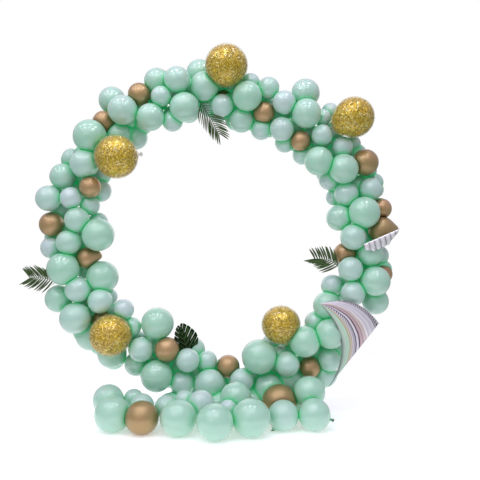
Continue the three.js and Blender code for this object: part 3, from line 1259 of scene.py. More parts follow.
@dataclass
class BalloonPattern:
    """A balloon of radius 1 with its neck along +Z, from which the others are copied.

    Attributes:
        segments: Sides round the neck's axis.
        rings: Rings from the crown to the neck.
        neck_profile: Each step of the neck: how far it rises, and how much it widens.
        neck_above: Corners higher than this belong to the neck.
    """

    segments: int
    rings: int
    neck_profile: tuple[tuple[float, float], ...] = (
        (0.02, 0.75), (0.035, 0.85), (0.02, 1.9), (0.03, 1.05), (0.02, 0.45), (0.03, 1.8),
    )
    neck_above: float = 1.003

    def __post_init__(self) -> None:
        """Builds the pattern and reads its corners."""
        self.object = self._model()
        self.points = points_of(self.object.data)
        self.is_neck = self.points[:, 2] > self.neck_above

    def _model(self) -> bpy.types.Object:
        """Models a sphere whose top is drawn out into a neck, a knot and a lip.

        Returns:
            The pattern.
        """
        deselect_all()
        bpy.ops.mesh.primitive_uv_sphere_add(
            segments=self.segments, ring_count=self.rings, radius=1
        )
        pattern = bpy.context.object
        first_ring = math.cos(math.pi / self.rings)
        edit_chosen(pattern, Part.FACES, lambda face: face.calc_center_median().z > first_ring)
        for lift, grow in self.neck_profile:
            bpy.ops.mesh.extrude_region_move(TRANSFORM_OT_translate={"value": (0, 0, lift)})
            bpy.ops.transform.resize(value=(grow, grow, 1), center_override=(0, 0, 1))
        bpy.ops.object.mode_set(mode="OBJECT")
        bpy.ops.object.shade_smooth()
        return pattern

    def _unpressed(self, ball: Ball) -> np.ndarray:
        """Shapes a lone balloon.

        Args:
            ball: The balloon.

        Returns:
            Its corners, from its own centre.
        """
        turn = Vector((0, 0, 1)).rotation_difference(Vector(ball.neck)).to_matrix()
        skin = self.points / np.linalg.norm(self.points, axis=1)[:, None]
        angle = np.arccos(np.clip(skin[:, 2], -1, 1))
        points = skin * self._drawn_out(angle, ball.shape)[:, None]
        neck = self.points[self.is_neck] - (0, 0, 1)
        points[self.is_neck] = neck * ball.shape.knot + (0, 0, ball.shape.reach)
        return points @ np.array(turn).T * ball.radius

    @staticmethod
    def _drawn_out(angle: np.ndarray, shape: Neck) -> np.ndarray:
        """Gives the skin's distance from the centre where a balloon is drawn out to its neck.

        Args:
            angle: Angles from the neck's axis.
            shape: How the balloon is drawn out.

        Returns:
            The distances, as shares of the radius.
        """
        along = shape.reach - shape.blunt
        leaves = math.acos((1 - shape.blunt) / along)
        meets = math.atan2(shape.blunt * math.sin(leaves), along + shape.blunt * math.cos(leaves))
        side = 1 / np.cos(np.clip(leaves - angle, 0, None))
        inside = np.clip(shape.blunt**2 - (along * np.sin(angle)) ** 2, 0, None)
        end = along * np.cos(angle) + np.sqrt(inside)
        return np.where(angle < meets, end, side)

    def shaped(self, ball: Ball, layout: Layout) -> np.ndarray:
        """Gives a balloon's corners where it presses on its neighbours, the wall and the floor.

        Args:
            ball: The balloon.
            layout: All the balloons.

        Returns:
            Rows of x, y and z in the row's frame.
        """
        points = self._unpressed(ball)
        length = np.linalg.norm(points, axis=1)
        ways = points / length[:, None]
        planes = [
            self._contact(ball, other)
            for other in layout.near(ball, 0.0)
            if ball.is_rear or not other.is_rear
        ]
        planes.append((np.array((0.0, 1.0, 0.0)), -ball.centre[1]))
        planes.append((np.array((0.0, 0.0, -1.0)), ball.centre[2] - layout.ring.floor_height))
        for normal, offset in planes:
            offset = max(offset, SIZES.least_offset * ball.radius)
            soft = min(SIZES.press_blend * ball.radius, max(ball.radius - offset, 1e-4))
            facing = np.maximum(ways @ normal, 1e-6)
            wall = offset / facing
            overlap = np.clip(soft - np.abs(length - wall), 0, None) / soft
            length = np.minimum(length, wall) - overlap**2 * soft / 4
        return ways * length[:, None] + ball.centre

    @staticmethod
    def _contact(ball: Ball, other: Ball) -> tuple[np.ndarray, float]:
        """Finds the plane in which two balloons meet.

        Args:
            ball: The balloon that is pressed.
            other: The one that it meets.

        Returns:
            The plane's normal, and its distance from the first balloon's centre.
        """
        toward = other.centre - ball.centre
        distance = float(np.linalg.norm(toward))
        middle = (distance**2 + ball.radius**2 - other.radius**2) / (2 * distance)
        return toward / distance, middle - SIZES.contact_gap / 2

    def copy_for(self, ball: Ball, layout: Layout) -> bpy.types.Object:
        """Copies the pattern and shapes it into one balloon of the garland.

        Args:
            ball: The balloon.
            layout: All the balloons.

        Returns:
            The balloon, with the numbers that its material reads.
        """
        copy = own_copy(self.object, ball.node)
        points = self.shaped(ball, layout)
        move_points(copy.data, points)
        gap = np.maximum(layout.clearance(points, ball), 0)
        crown = (self.points[:, 2] + 1) / 2
        # Closeness to a neighbour, for the painted crevice shade, glow and rim light of the
        # finishes.
        paint(copy.data, "crevice_shade", np.exp(-gap / SIZES.crevice_shade_depth))
        gathered = np.where(ball.shape.blunt > 0, 0.0, crown**14)
        paint(copy.data, "drawn_in", np.where(self.is_neck, 1.0, gathered))
        paint(copy.data, "knot", self.is_neck)
        paint(copy.data, "tint", ball.tint)
        return copy


class BalloonWork:
    """Makes every balloon of the garland.

    Args:
        layout: Where the balloons are.
    """

    LARGE = 0.07
    FINE, PLAIN, REAR = (60, 34), (40, 22), (30, 18)

    def __init__(self, layout: Layout) -> None:
        """Makes the patterns and the finishes."""
        self.layout = layout
        self.fine, self.plain, self.rear = (
            BalloonPattern(*cells) for cells in (self.FINE, self.PLAIN, self.REAR)
        )
        self.materials = {
            Latex.MINT: MintLatex().build(),
            Latex.GOLD: GoldLatex().build(),
            Latex.CLEAR: ClearLatex().build(),
        }

    def build(self) -> None:
        """Builds one piece for each balloon node."""
        groups: dict[str, list[Ball]] = {}
        for ball in self.layout.balls:
            groups.setdefault(ball.node, []).append(ball)
        for node, balls in groups.items():
            parts = [self._pattern_for(ball).copy_for(ball, self.layout) for ball in balls]
            piece = join(parts, f"{node}_latex")
            dress(piece, self.materials[balls[0].latex], [node])
        for pattern in (self.fine, self.plain, self.rear):
            remove(pattern.object)

    def _pattern_for(self, ball: Ball) -> BalloonPattern:
        """Picks the fine pattern for large balloons that face the room.

        Args:
            ball: The balloon.

        Returns:
            The pattern to copy.
        """
        if ball.is_rear:
            return self.rear
        ring_line = -self.layout.ring.wall_behind_line * MM
        is_fine = ball.radius > self.LARGE and ball.centre[1] < ring_line
        return self.fine if is_fine else self.plain


@dataclass
class ConfettiFill:
    """The dust and flakes that cling to the inside of the confetti balloons.

    Attributes:
        flakes: How many each balloon holds.
        size: Across a flake, in metres.
        depth: Where they lie, as a share of the way from the centre to the skin.
        dust: Where the dust lies, as the same share.
        tilt: How far they usually lean from the skin, in degrees.
        loose: The share of flakes that lean four times as far.
        belt: How far above and below its middle most flakes gather, as a share of the radius.
        sparse: How thick they lie elsewhere, against the belt.
        sides: Corners of a flake.
        lining_segments: Sides of the lining round its neck's axis.
        lining_rings: Rings of the lining from its crown to its neck.
        neck_in: How far in the lining stays at the neck, as a share of dust.
        bend: How far a flake's middle is bent, as a share of its size.
    """

    flakes: int = 3000
    size: float = 0.0115
    depth: float = 0.938
    dust: float = 0.922
    tilt: float = 12.0
    loose: float = 0.35
    belt: float = 0.42
    sparse: float = 0.22
    sides: int = 6
    lining_segments: int = 48
    lining_rings: int = 24
    neck_in: float = 0.97
    bend: float = 0.08

    def build(self, layout: Layout) -> None:
        """Builds a lining of dust and a piece of flakes for each confetti balloon.

        Args:
            layout: All the balloons.
        """
        material = GoldConfetti().build()
        dust = GoldDust().build()
        pattern = BalloonPattern(self.lining_segments, self.lining_rings)
        draw = np.random.default_rng(SEED)
        flake = self._flake()
        for ball in (ball for ball in layout.balls if ball.latex is Latex.CLEAR):
            piece = self._scatter(ball, pattern, layout, draw, flake)
            piece.name = piece.data.name = ball.node.replace("balloon", "flakes")
            dress(piece, material, [ball.node])
            lining = own_copy(pattern.object, ball.node.replace("balloon", "dust"))
            inside = np.where(pattern.is_neck, self.dust * self.neck_in, self.dust)[:, None]
            skin = pattern.shaped(ball, layout)
            skin[pattern.is_neck] = skin[~pattern.is_neck][-1]
            move_points(lining.data, ball.centre + (skin - ball.centre) * inside)
            dress(lining, dust, [ball.node])
        remove(pattern.object)
        remove(flake)

    def _flake(self) -> bpy.types.Object:
        """Models one six-sided flake that is bent across its middle.

        Returns:
            The flake.
        """
        deselect_all()
        bpy.ops.mesh.primitive_circle_add(
            vertices=self.sides, radius=self.size / 2, fill_type="NGON"
        )
        flake = bpy.context.object
        edit_chosen(flake, Part.CORNERS, lambda corner: abs(corner.co.x) > self.size / 3)
        bpy.ops.transform.translate(value=(0, 0, self.size * self.bend))
        bpy.ops.object.mode_set(mode="OBJECT")
        return flake

    def _scatter(
        self,
        ball: Ball,
        pattern: BalloonPattern,
        layout: Layout,
        draw: np.random.Generator,
        flake: bpy.types.Object,
    ) -> bpy.types.Object:
        """Spreads the flakes over the inside of one balloon.

        Args:
            ball: The balloon.
            pattern: A pattern whose pressed skin the flakes follow.
            layout: All the balloons.
            draw: The source of chance.
            flake: The flake to repeat.

        Returns:
            One object with all the flakes.
        """
        skin = pattern.shaped(ball, layout)
        faces = np.array(
            [list(face.vertices)[:3] for face in pattern.object.data.polygons], dtype=int
        )
        far = [list(face.vertices)[-1] for face in pattern.object.data.polygons]
        corners = skin[faces]
        other = skin[np.array(far)]
        edge_a, edge_b = corners[:, 1] - corners[:, 0], corners[:, 2] - corners[:, 0]
        area = np.linalg.norm(np.cross(edge_a, edge_b), axis=1)
        area *= ~pattern.is_neck[faces].any(1)
        height = (corners[:, 0, 2] - ball.centre[2]) / ball.radius + self.belt / 3
        area *= self.sparse + np.exp(-((height / self.belt) ** 2))
        chosen = draw.choice(len(faces), self.flakes, p=area / area.sum())
        u, v = draw.random((2, self.flakes, 1))
        near = corners[chosen, 0] * (1 - u) + corners[chosen, 1] * u
        away = other[chosen] * (1 - u) + corners[chosen, 2] * u
        spots = ball.centre + (near * (1 - v) + away * v - ball.centre) * self.depth
        outward = spots - ball.centre
        outward /= np.linalg.norm(outward, axis=1)[:, None]
        lean = math.tan(math.radians(self.tilt))
        lean = lean * np.where(draw.random((self.flakes, 1)) < self.loose, 4, 1)
        up = outward + draw.normal(size=(self.flakes, 3)) * lean
        up /= np.linalg.norm(up, axis=1)[:, None]
        side = np.cross(up, draw.normal(size=(self.flakes, 3)))
        side /= np.linalg.norm(side, axis=1)[:, None]
        frames = np.stack((side, np.cross(up, side), up), axis=1)
        shape = points_of(flake.data)
        scale = draw.uniform(0.65, 1.15, (self.flakes, 1, 1))
        points = (shape @ frames) * scale + spots[:, None, :]
        sheet = own_copy(flake, ball.node)
        return self._spread(sheet, points, draw)

    def _spread(
        self, sheet: bpy.types.Object, points: np.ndarray, draw: np.random.Generator
    ) -> bpy.types.Object:
        """Repeats the flake's faces at every place and shades each flake on its own.

        Args:
            sheet: The object that takes the flakes in.
            points: The corners of each flake.
            draw: The source of chance.

        Returns:
            The same object.
        """
        count, corners = points.shape[:2]
        pattern = np.array([list(face.vertices) for face in sheet.data.polygons])
        faces = (pattern[None] + np.arange(count)[:, None, None] * corners).reshape(-1, corners)
        sheet.data.clear_geometry()
        sheet.data.from_pydata(points.reshape(-1, 3).tolist(), [], faces.tolist())
        sheet.data.update()
        shade = draw.normal(0.55, 0.15, count)
        shade += draw.choice((-0.6, 0.0, 0.5), count, p=(0.38, 0.34, 0.28))
        paint(sheet.data, "shade", np.repeat(shade, corners))
        return sheet


# ---------------------------------------------------------------------------
# Leaves
# ---------------------------------------------------------------------------


@dataclass
class LeafPlace:
    """Where a leaf is tucked in.

    Attributes:
        node: The construction node that it stands for.
        clock: Clock angle of its root, in degrees.
        out: Its root's distance out from the ring line.
        forward: Its root's distance forward of that line.
        turn: The way it points, in degrees anticlockwise from across.
        length: From root to tip.
        half_width: From its middle to a side.
        leans: How far the first blades below and above the midrib lean from it, in degrees.
        bow: How far the midrib bends to the upper side.
        roll: How much the upper side is raised from the wall, as a slope.
        tip_lean: How far the last blades lean from it, in degrees.
        blade_width: Across the widest part of a blade, in metres, where it has blades.
    """

    node: str
    clock: float
    out: float
    forward: float
    turn: float
    length: float
    half_width: float
    leans: tuple[float, float] = (60.0, 60.0)
    bow: float = 0.0
    roll: float = 0.0
    tip_lean: float = 30.0
    blade_width: float = 0.0

    def to_row(self, points: np.ndarray) -> np.ndarray:
        """Lays a drawn leaf in its place.

        Args:
            points: Rows of metres along the leaf, across it and up from it.

        Returns:
            Rows of x, y and z in the row's frame.
        """
        angle = math.radians(self.turn)
        along = np.array((math.cos(angle), 0.0, math.sin(angle)))
        across = np.array((-math.sin(angle), 0.0, math.cos(angle)))
        lifted = np.array((0.0, -1.0, 0.0))
        root = RING.on_ring(self.clock, self.out, self.forward)
        return root + points @ np.array((along, across, lifted))


PALM_LEAVES: tuple[LeafPlace, ...] = (
    LeafPlace("palm_leaf_top", 352, -21, 60, -58.8, 345, 104, (52, 64), 4, 0.4, 34, 0.0098),
    LeafPlace("palm_leaf_right", 106.4, -70, 95, 154, 282, 96, (62, 62), -34, -0.1, 44, 0.0138),
    LeafPlace("palm_leaf_left", 253.6, 172, 45, 172, 275, 104, (46, 64), -14, 0.0, 46, 0.0125),
)
MONSTERA_LEAF = LeafPlace("monstera_leaf", 195.4, -172, 50, 108, 190, 98)


@dataclass
class PalmLeaf:
    """A feather palm leaf: a midrib with two rows of narrow blades.

    Attributes:
        place: Where it is tucked in.
        spacing: From one blade to the next, in metres.
        arch: How far the tip bends back towards the wall, in metres.
        room: How far it stays from the balloons, in metres.
        rib_end: Where the midrib ends, as a share of the leaf's length.
        rib_steps: Lengths that the midrib is made of.
        rib_radius: The midrib's radius at its root, in metres.
    """

    place: LeafPlace
    spacing: float = 0.018
    arch: float = 0.02
    room: float = 0.003
    rib_end: float = 0.8
    rib_steps: int = 24
    rib_radius: float = 0.0032

    def build(self, material: bpy.types.Material, layout: Layout) -> None:
        """Builds the leaf as one piece.

        Args:
            material: Its finish.
            layout: The balloons that it is tucked in between.
        """
        draw = np.random.default_rng(SEED + len(self.place.node))
        blade = self._blade()
        parts = [self._rib(layout)]
        pairs = round(self.place.length * MM * self.rib_end / self.spacing)
        for index in range(pairs + 1):
            share = (index / pairs) ** 0.9
            for side in (-1, 1):
                made = self._set_blade(blade, share, side, draw, layout)
                if made:
                    parts.append(made)
        remove(blade)
        leaf = join(parts, f"{self.place.node}_blades")
        smooth(leaf, 50)
        dress(leaf, material, [self.place.node])

    def _blade(self) -> bpy.types.Object:
        """Models one blade along X, 1 long and 1 wide, folded along its middle.

        Returns:
            The blade.
        """
        deselect_all()
        bpy.ops.mesh.primitive_grid_add(x_subdivisions=9, y_subdivisions=2, size=1)
        blade = bpy.context.object
        points = points_of(blade.data)
        along = points[:, 0] + 0.5
        across = points[:, 1]
        width = np.sin(np.pi * np.clip(along * 0.9 + 0.1, 0, 1)) ** 0.6
        points[:, 0] = along
        points[:, 1] = across * width
        points[:, 2] = -np.abs(across) * 0.5 * width
        move_points(blade.data, points)
        paint(blade.data, "vein", np.where(np.abs(across) < 0.01, 0.55, 0.0))
        return blade

    def _set_blade(
        self,
        blade: bpy.types.Object,
        share: float,
        side: int,
        draw: np.random.Generator,
        layout: Layout,
    ) -> bpy.types.Object | None:
        """Places one blade on the rib.

        Args:
            blade: The blade to copy.
            share: How far along the rib it grows, from 0 to 1.
            side: 1 for the upper row, -1 for the lower.
            draw: The source of chance.
            layout: The balloons, which the blade stops short of.

        Returns:
            The blade, or None where a balloon leaves no room for it.
        """
        fullness = 0.7 + 0.55 * math.sin(math.pi * (0.3 + 0.6 * share))
        length = self.place.half_width * MM * fullness
        length *= 1 + draw.uniform(-0.07, 0.07)
        first = self.place.leans[0 if side < 0 else 1]
        lean = first - (first - self.place.tip_lean) * share**1.3
        lean = math.radians(lean + draw.uniform(-3, 3))
        droop = draw.uniform(0.02, 0.12)
        twist = draw.uniform(-0.4, 0.4)
        shade = float(np.clip(draw.normal(0.35, 0.2), 0, 1))
        copy = own_copy(blade, blade.name)
        points = points_of(copy.data)
        along = points[:, 0] * length
        across = points[:, 1] * self.place.blade_width
        lift = points[:, 2] * self.place.blade_width + across * twist
        curl = lean - 0.14 * points[:, 0]
        laid = np.empty_like(points)
        root = self._rib_at(share)
        laid[:, 0] = root[0] + along * np.cos(curl) - across * math.sin(lean)
        spread = side * (along * np.sin(curl) + across * math.cos(lean))
        laid[:, 1] = root[1] + spread
        laid[:, 2] = root[2] + lift + self.place.roll * spread
        laid[:, 2] -= droop * points[:, 0] ** 2 * length
        placed = self.place.to_row(laid)
        clear = layout.clearance(placed) > self.room
        if clear.all():
            reach = 1.0
        else:
            reach = float(points[~clear, 0].min()) - 0.08
        if reach < 0.25:
            remove(copy)
            return None
        if reach < 1:
            placed = self.place.to_row(root + (laid - root) * reach)
        move_points(copy.data, placed)
        paint(copy.data, "shade", shade + 0.25 * points[:, 0] ** 3)
        return copy

    def _rib_at(self, share: float) -> np.ndarray:
        """Finds a point of the midrib.

        Args:
            share: How far along it, from 0 to 1.

        Returns:
            The point, in the leaf's own frame.
        """
        along = self.place.length * MM * (0.03 + (self.rib_end - 0.03) * share)
        bow = 4 * self.place.bow * MM * share * (1 - share)
        return np.array((along, bow, -self.arch * share**2))

    def _rib(self, layout: Layout) -> bpy.types.Object:
        """Models the midrib: a tube that thins towards its tip.

        Args:
            layout: The balloons that its root comes out from.

        Returns:
            The midrib.
        """
        deselect_all()
        bpy.ops.mesh.primitive_cylinder_add(vertices=8, radius=1, depth=1, end_fill_type="TRIFAN")
        rib = bpy.context.object
        edit_chosen(
            rib, Part.EDGES, lambda edge: abs(edge.verts[0].co.z - edge.verts[1].co.z) > 0.5
        )
        bpy.ops.mesh.subdivide(number_cuts=self.rib_steps - 1)
        bpy.ops.object.mode_set(mode="OBJECT")
        points = points_of(rib.data)
        share = points[:, 2] + 0.5
        start = self._first_clear(layout)
        share = start + (1 - start) * share
        width = self.rib_radius * (1 - 0.75 * share)
        laid = np.empty_like(points)
        for index, at in enumerate(share):
            laid[index] = self._rib_at(float(at))
        laid[:, 1] += points[:, 0] * width
        laid[:, 2] += points[:, 1] * width + self.place.roll * laid[:, 1]
        move_points(rib.data, self.place.to_row(laid))
        paint(rib.data, "vein", 0.35)
        paint(rib.data, "shade", 0.5)
        return rib

    def _first_clear(self, layout: Layout) -> float:
        """Finds where the midrib comes out from between the balloons.

        Args:
            layout: All the balloons.

        Returns:
            How far along the midrib that is, from 0 to 1.
        """
        shares = np.linspace(-0.05, 1, 60)
        line = self.place.to_row(np.array([self._rib_at(float(at)) for at in shares]))
        clear = layout.clearance(line) > 2 * self.room
        blocked = np.nonzero(~clear[: len(shares) // 2])[0]
        return float(shares[blocked[-1] + 1]) if len(blocked) else float(shares[0])


@dataclass
class MonsteraLeaf:
    """A split leaf: broad, with slits that run in from its edge towards the midrib.

    Attributes:
        place: Where it is tucked in.
        lobes: Fingers on each side.
        slit: Where a slit starts, as a share of the way to the edge.
        gap: How much of a finger's width a slit takes at the edge.
        narrow_side: How wide the upper half is, as a share of the lower half.
        vein_angle: Between the midrib and a side vein, in degrees.
        room: How far it stays from the balloons, in metres.
        thickness: How thick it is, in metres.
    """

    place: LeafPlace
    lobes: int = 6
    slit: float = 0.58
    gap: float = 0.045
    narrow_side: float = 0.82
    vein_angle: float = 50.0
    room: float = 0.002
    thickness: float = 0.0011

    def build(self, material: bpy.types.Material, layout: Layout) -> None:
        """Builds the leaf as one piece.

        Args:
            material: Its finish.
            layout: The balloons that it is tucked in between.
        """
        parts = [self._finger(index, side) for index in range(self.lobes) for side in (-1, 1)]
        leaf = join(parts, f"{self.place.node}_blade")
        self._keep_clear(leaf, layout)
        take(leaf)
        thickness = leaf.modifiers.new("thickness", "SOLIDIFY")
        thickness.thickness = self.thickness
        thickness.offset = 0
        bpy.ops.object.modifier_apply(modifier=thickness.name)
        smooth(leaf, 40)
        dress(leaf, material, [self.place.node])

    def _finger(self, index: int, side: int) -> bpy.types.Object:
        """Models one finger as a bent strip that grows from the midrib.

        Args:
            index: Its place along the midrib.
            side: 1 for the upper side, -1 for the lower.

        Returns:
            The finger.
        """
        deselect_all()
        bpy.ops.mesh.primitive_grid_add(x_subdivisions=10, y_subdivisions=20, size=1)
        strip = bpy.context.object
        points = points_of(strip.data)
        u = points[:, 0] + 0.5
        v = points[:, 1] + 0.5
        length = self.place.length * MM
        half = self.place.half_width * MM
        slit = self.slit + 0.2 * ((index * 3 + (side > 0)) % 3 - 1)
        opening = self.gap * np.clip((v - slit) * 12, 0, 1) * (slit < 0.7)
        inside = np.clip(u, opening, 1 - opening)
        share = (index + inside) / self.lobes
        outline = np.interp(share, (0, 0.12, 0.3, 0.6, 0.85, 1), (0.8, 1.0, 1.0, 0.78, 0.5, 0.16))
        notch = 1 - 0.1 * np.abs(2 * u - 1) ** 5 * v
        sweep = math.radians(self.vein_angle) * (1 - 0.75 * share**2)
        widest = half * (1.0 if side < 0 else self.narrow_side)
        reach = widest * outline / math.sin(math.radians(self.vein_angle)) * v * notch
        laid = np.empty_like(points)
        laid[:, 0] = length * (-0.36 + 1.18 * share) + reach * np.cos(sweep)
        laid[:, 1] = side * reach * np.sin(sweep)
        laid[:, 2] = -0.25 * reach**2 / half + 0.005 * np.sin(np.pi * inside) * v
        laid[:, 2] -= 0.003 * (v < 0.02)
        move_points(strip.data, laid)
        rib_line = np.exp(-((u - 0.5) / 0.12) ** 2) * 0.35
        paint(strip.data, "vein", np.maximum(rib_line * (v < 0.85), 0.4 * (v < 0.05)))
        paint(strip.data, "shade", 0.25 + 0.1 * ((index * 7 + side) % 3) + 0.15 * v)
        if side < 0:
            take(strip)
            bpy.ops.object.mode_set(mode="EDIT")
            bpy.ops.mesh.select_all(action="SELECT")
            bpy.ops.mesh.flip_normals()
            bpy.ops.object.mode_set(mode="OBJECT")
        return strip

    def _keep_clear(self, leaf: bpy.types.Object, layout: Layout) -> None:
        """Lays the leaf in its place and drops the faces that a balloon would cover.

        Args:
            leaf: The leaf.
            layout: All the balloons.
        """
        placed = self.place.to_row(points_of(leaf.data))
        move_points(leaf.data, placed)
        hidden = layout.clearance(placed) < self.room
        edit_chosen(leaf, Part.CORNERS, lambda corner: bool(hidden[corner.index]))
        bpy.ops.mesh.delete(type="VERT")
        bpy.ops.mesh.select_all(action="SELECT")
        bpy.ops.mesh.remove_doubles(threshold=0.0004)
        bpy.ops.object.mode_set(mode="OBJECT")


# ---------------------------------------------------------------------------
# Foil
# ---------------------------------------------------------------------------

Flat = tuple[float, float]


def bowed(start: np.ndarray, end: np.ndarray, bow: np.ndarray, share: np.ndarray) -> np.ndarray:
    """Gives points on a line between two ends that bows to one side.

    Args:
        start: Where it starts, as rows of across and up.
        end: Where it ends.
        bow: How far its middle lies to the side.
        share: How far along, from 0 to 1.

    Returns:
        Rows of across and up.
    """
    along = end - start
    length = np.linalg.norm(along, axis=-1)
    rise = (4 * bow * share * (1 - share) / length)[:, None]
    side = np.stack((-along[:, 1], along[:, 0]), axis=-1)
    return start + along * share[:, None] + side * rise


class Puffed:
    """Makes a closed foil pillow from one flat seam plane."""

    def pillow(
        self,
        name: str,
        columns: int,
        rows: int,
        shape_at: Callable[[np.ndarray, np.ndarray, int], np.ndarray],
    ) -> tuple[bpy.types.Object, np.ndarray, np.ndarray]:
        """Models a front and a back skin that meet in a seam.

        Args:
            name: The pillow's name.
            columns: Cells along it.
            rows: Cells across it.
            shape_at: Gives the row's frame places for u, v and the side, 1 front or -1 back.

        Returns:
            The pillow, and u and v for each of its corners.
        """
        skins = []
        for side in (1, -1):
            deselect_all()
            bpy.ops.mesh.primitive_grid_add(x_subdivisions=columns, y_subdivisions=rows, size=1)
            skin = bpy.context.object
            flat = points_of(skin.data)
            u, v = flat[:, 0] + 0.5, flat[:, 1] + 0.5
            move_points(skin.data, shape_at(u, v, side))
            paint(skin.data, "u", u)
            paint(skin.data, "v", v)
            skins.append(skin)
        whole = join(skins, name)
        face_out(whole, 0.00005)
        return whole, self._read(whole, "u"), self._read(whole, "v")

    @staticmethod
    def _read(thing: bpy.types.Object, name: str) -> np.ndarray:
        """Reads a stored number for each corner.

        Args:
            thing: The object.
            name: The attribute's name.

        Returns:
            The numbers.
        """
        values = np.zeros(len(thing.data.vertices), np.float32)
        thing.data.attributes[name].data.foreach_get("value", values)
        return values.astype(float)


@dataclass
class MarbledBalloon(Puffed):
    """The large foil balloon: a curved horn, cut off along a straight edge.

    Attributes:
        tip: Its point, across and up from the ring's middle.
        right: The upper end of its straight edge.
        bottom: The lower end of that edge.
        inner_bow: How far its inner seam bows.
        upper_bow: How far its upper seam bows.
        forward: From the ring line to the seam's plane.
        lean: How much further back the lower end lies.
        puff: How thick it is.
        seam: The flat band along a seam, as a share of the width.
        puckers: Folds along each seam.
    """

    tip: Flat = (705, -467)
    right: Flat = (1114, -604)
    bottom: Flat = (756, -1072)
    inner_bow: float = 127
    upper_bow: float = 80
    forward: float = 205
    lean: float = 45
    puff: float = 46
    seam: float = 0.045
    puckers: int = 24

    def build(self) -> None:
        """Builds the balloon as one piece."""
        piece, u, v = self.pillow("marbled_foil_balloon_skin", 96, 64, self._shape)
        paint(piece.data, "band", v + 0.03 * np.sin(5 * u) * np.sin(np.pi * v))
        paint(piece.data, "along", u)
        smooth(piece)
        dress(piece, MarbledFoil().build(), ["marbled_foil_balloon"])

    def _shape(self, u: np.ndarray, v: np.ndarray, side: int) -> np.ndarray:
        """Gives the skin's places.

        Args:
            u: How far along each corner is, from 0 to 1.
            v: How far across it is, from 0 to 1.
            side: 1 for the front, -1 for the back.

        Returns:
            Rows of x, y and z in the row's frame.
        """
        share = np.maximum(u, 0.002)
        start = np.broadcast_to(np.array(self.tip, float), (len(u), 2))
        bottom, right = np.array(self.bottom, float), np.array(self.right, float)
        end = bottom + (right - bottom) * v[:, None]
        bow = self.inner_bow + (self.upper_bow - self.inner_bow) * v
        flat = bowed(start, end, bow, share)
        low = (self.tip[1] - flat[:, 1]) / (self.tip[1] - self.bottom[1])
        inside = np.clip((v - self.seam) / (1 - 2 * self.seam), 0, 1)
        ends = np.clip((1 - u) / self.seam * 1.6, 0, 1) * np.clip(u * 30, 0, 1)
        body = np.sin(np.pi * inside) ** 0.6 * np.sqrt(share) * (1 - u**8) ** 0.5
        near_seam = np.exp(-inside / 0.1) + np.exp(-(1 - inside) / 0.1)
        wave = np.sin(2 * np.pi * self.puckers * u) * (inside > 0) * (inside < 1)
        pucker = 0.16 * near_seam * wave
        half = self.puff / 2 * body * (1 + pucker) * ends
        middle = self.forward - self.lean * low
        forward = middle + half * (1.5 if side > 0 else -0.5)
        points = np.stack((flat[:, 0], -forward, flat[:, 1]), axis=1)
        return np.array([RING.row(point) for point in points])


@dataclass
class ScallopedRim(Puffed):
    """The small foil rim: a straight hem with a row of puffs below it.

    Attributes:
        left: The hem's left end, across and up from the ring's middle.
        right: The hem's right end.
        drop: How deep the puffs hang.
        forward: From the ring line to the hem.
        scallops: How many puffs there are.
        puff: How thick they are.
        hem: How thick the foil is between them.
    """

    left: Flat = (1012, -58)
    right: Flat = (1266, 51)
    drop: float = 74
    forward: float = 168
    scallops: int = 7
    puff: float = 14
    hem: float = 5

    def build(self) -> None:
        """Builds the rim as one piece."""
        piece, u, v = self.pillow("scalloped_foil_rim_skin", 96, 28, self._shape)
        # puff falls to 0 in the seams between the puffs, where the pearl finish paints shade; the
        # hem stays at 1.
        between = np.abs(np.sin(np.pi * self.scallops * u))
        paint(piece.data, "puff", np.where(v > 0.86, 1.0, between**0.8))
        smooth(piece)
        dress(piece, PearlFoil().build(), ["scalloped_foil_rim"])

    def _shape(self, u: np.ndarray, v: np.ndarray, side: int) -> np.ndarray:
        """Gives the skin's places.

        Args:
            u: How far along each corner is, from 0 to 1.
            v: How far across it is, from 0 to 1.
            side: 1 for the front, -1 for the back.

        Returns:
            Rows of x, y and z in the row's frame.
        """
        left, right = np.array(self.left, float), np.array(self.right, float)
        hem = left + (right - left) * u[:, None]
        scallop = np.abs(np.sin(np.pi * self.scallops * u))
        taper = np.minimum(np.minimum(1, 2.6 * (1 - u)), 0.55 + 2 * u)
        drop = self.drop * (1 - v) * taper * (0.9 + 0.1 * scallop)
        across = hem[:, 0] + drop * 0.25
        up = hem[:, 1] - drop
        rounded = np.clip(np.sin(np.pi * v), 0, 1) ** 0.5
        half = (self.puff * (0.25 + 0.75 * scallop**0.7) + self.hem) / 2 * rounded
        edge = np.clip(np.minimum(u, 1 - u) * 40, 0, 1)
        forward = self.forward + self.puff / 4 + side * half * edge
        points = np.stack((across, -forward, up), axis=1)
        return np.array([RING.row(point) for point in points])


# ---------------------------------------------------------------------------
# Floor, light and camera
# ---------------------------------------------------------------------------


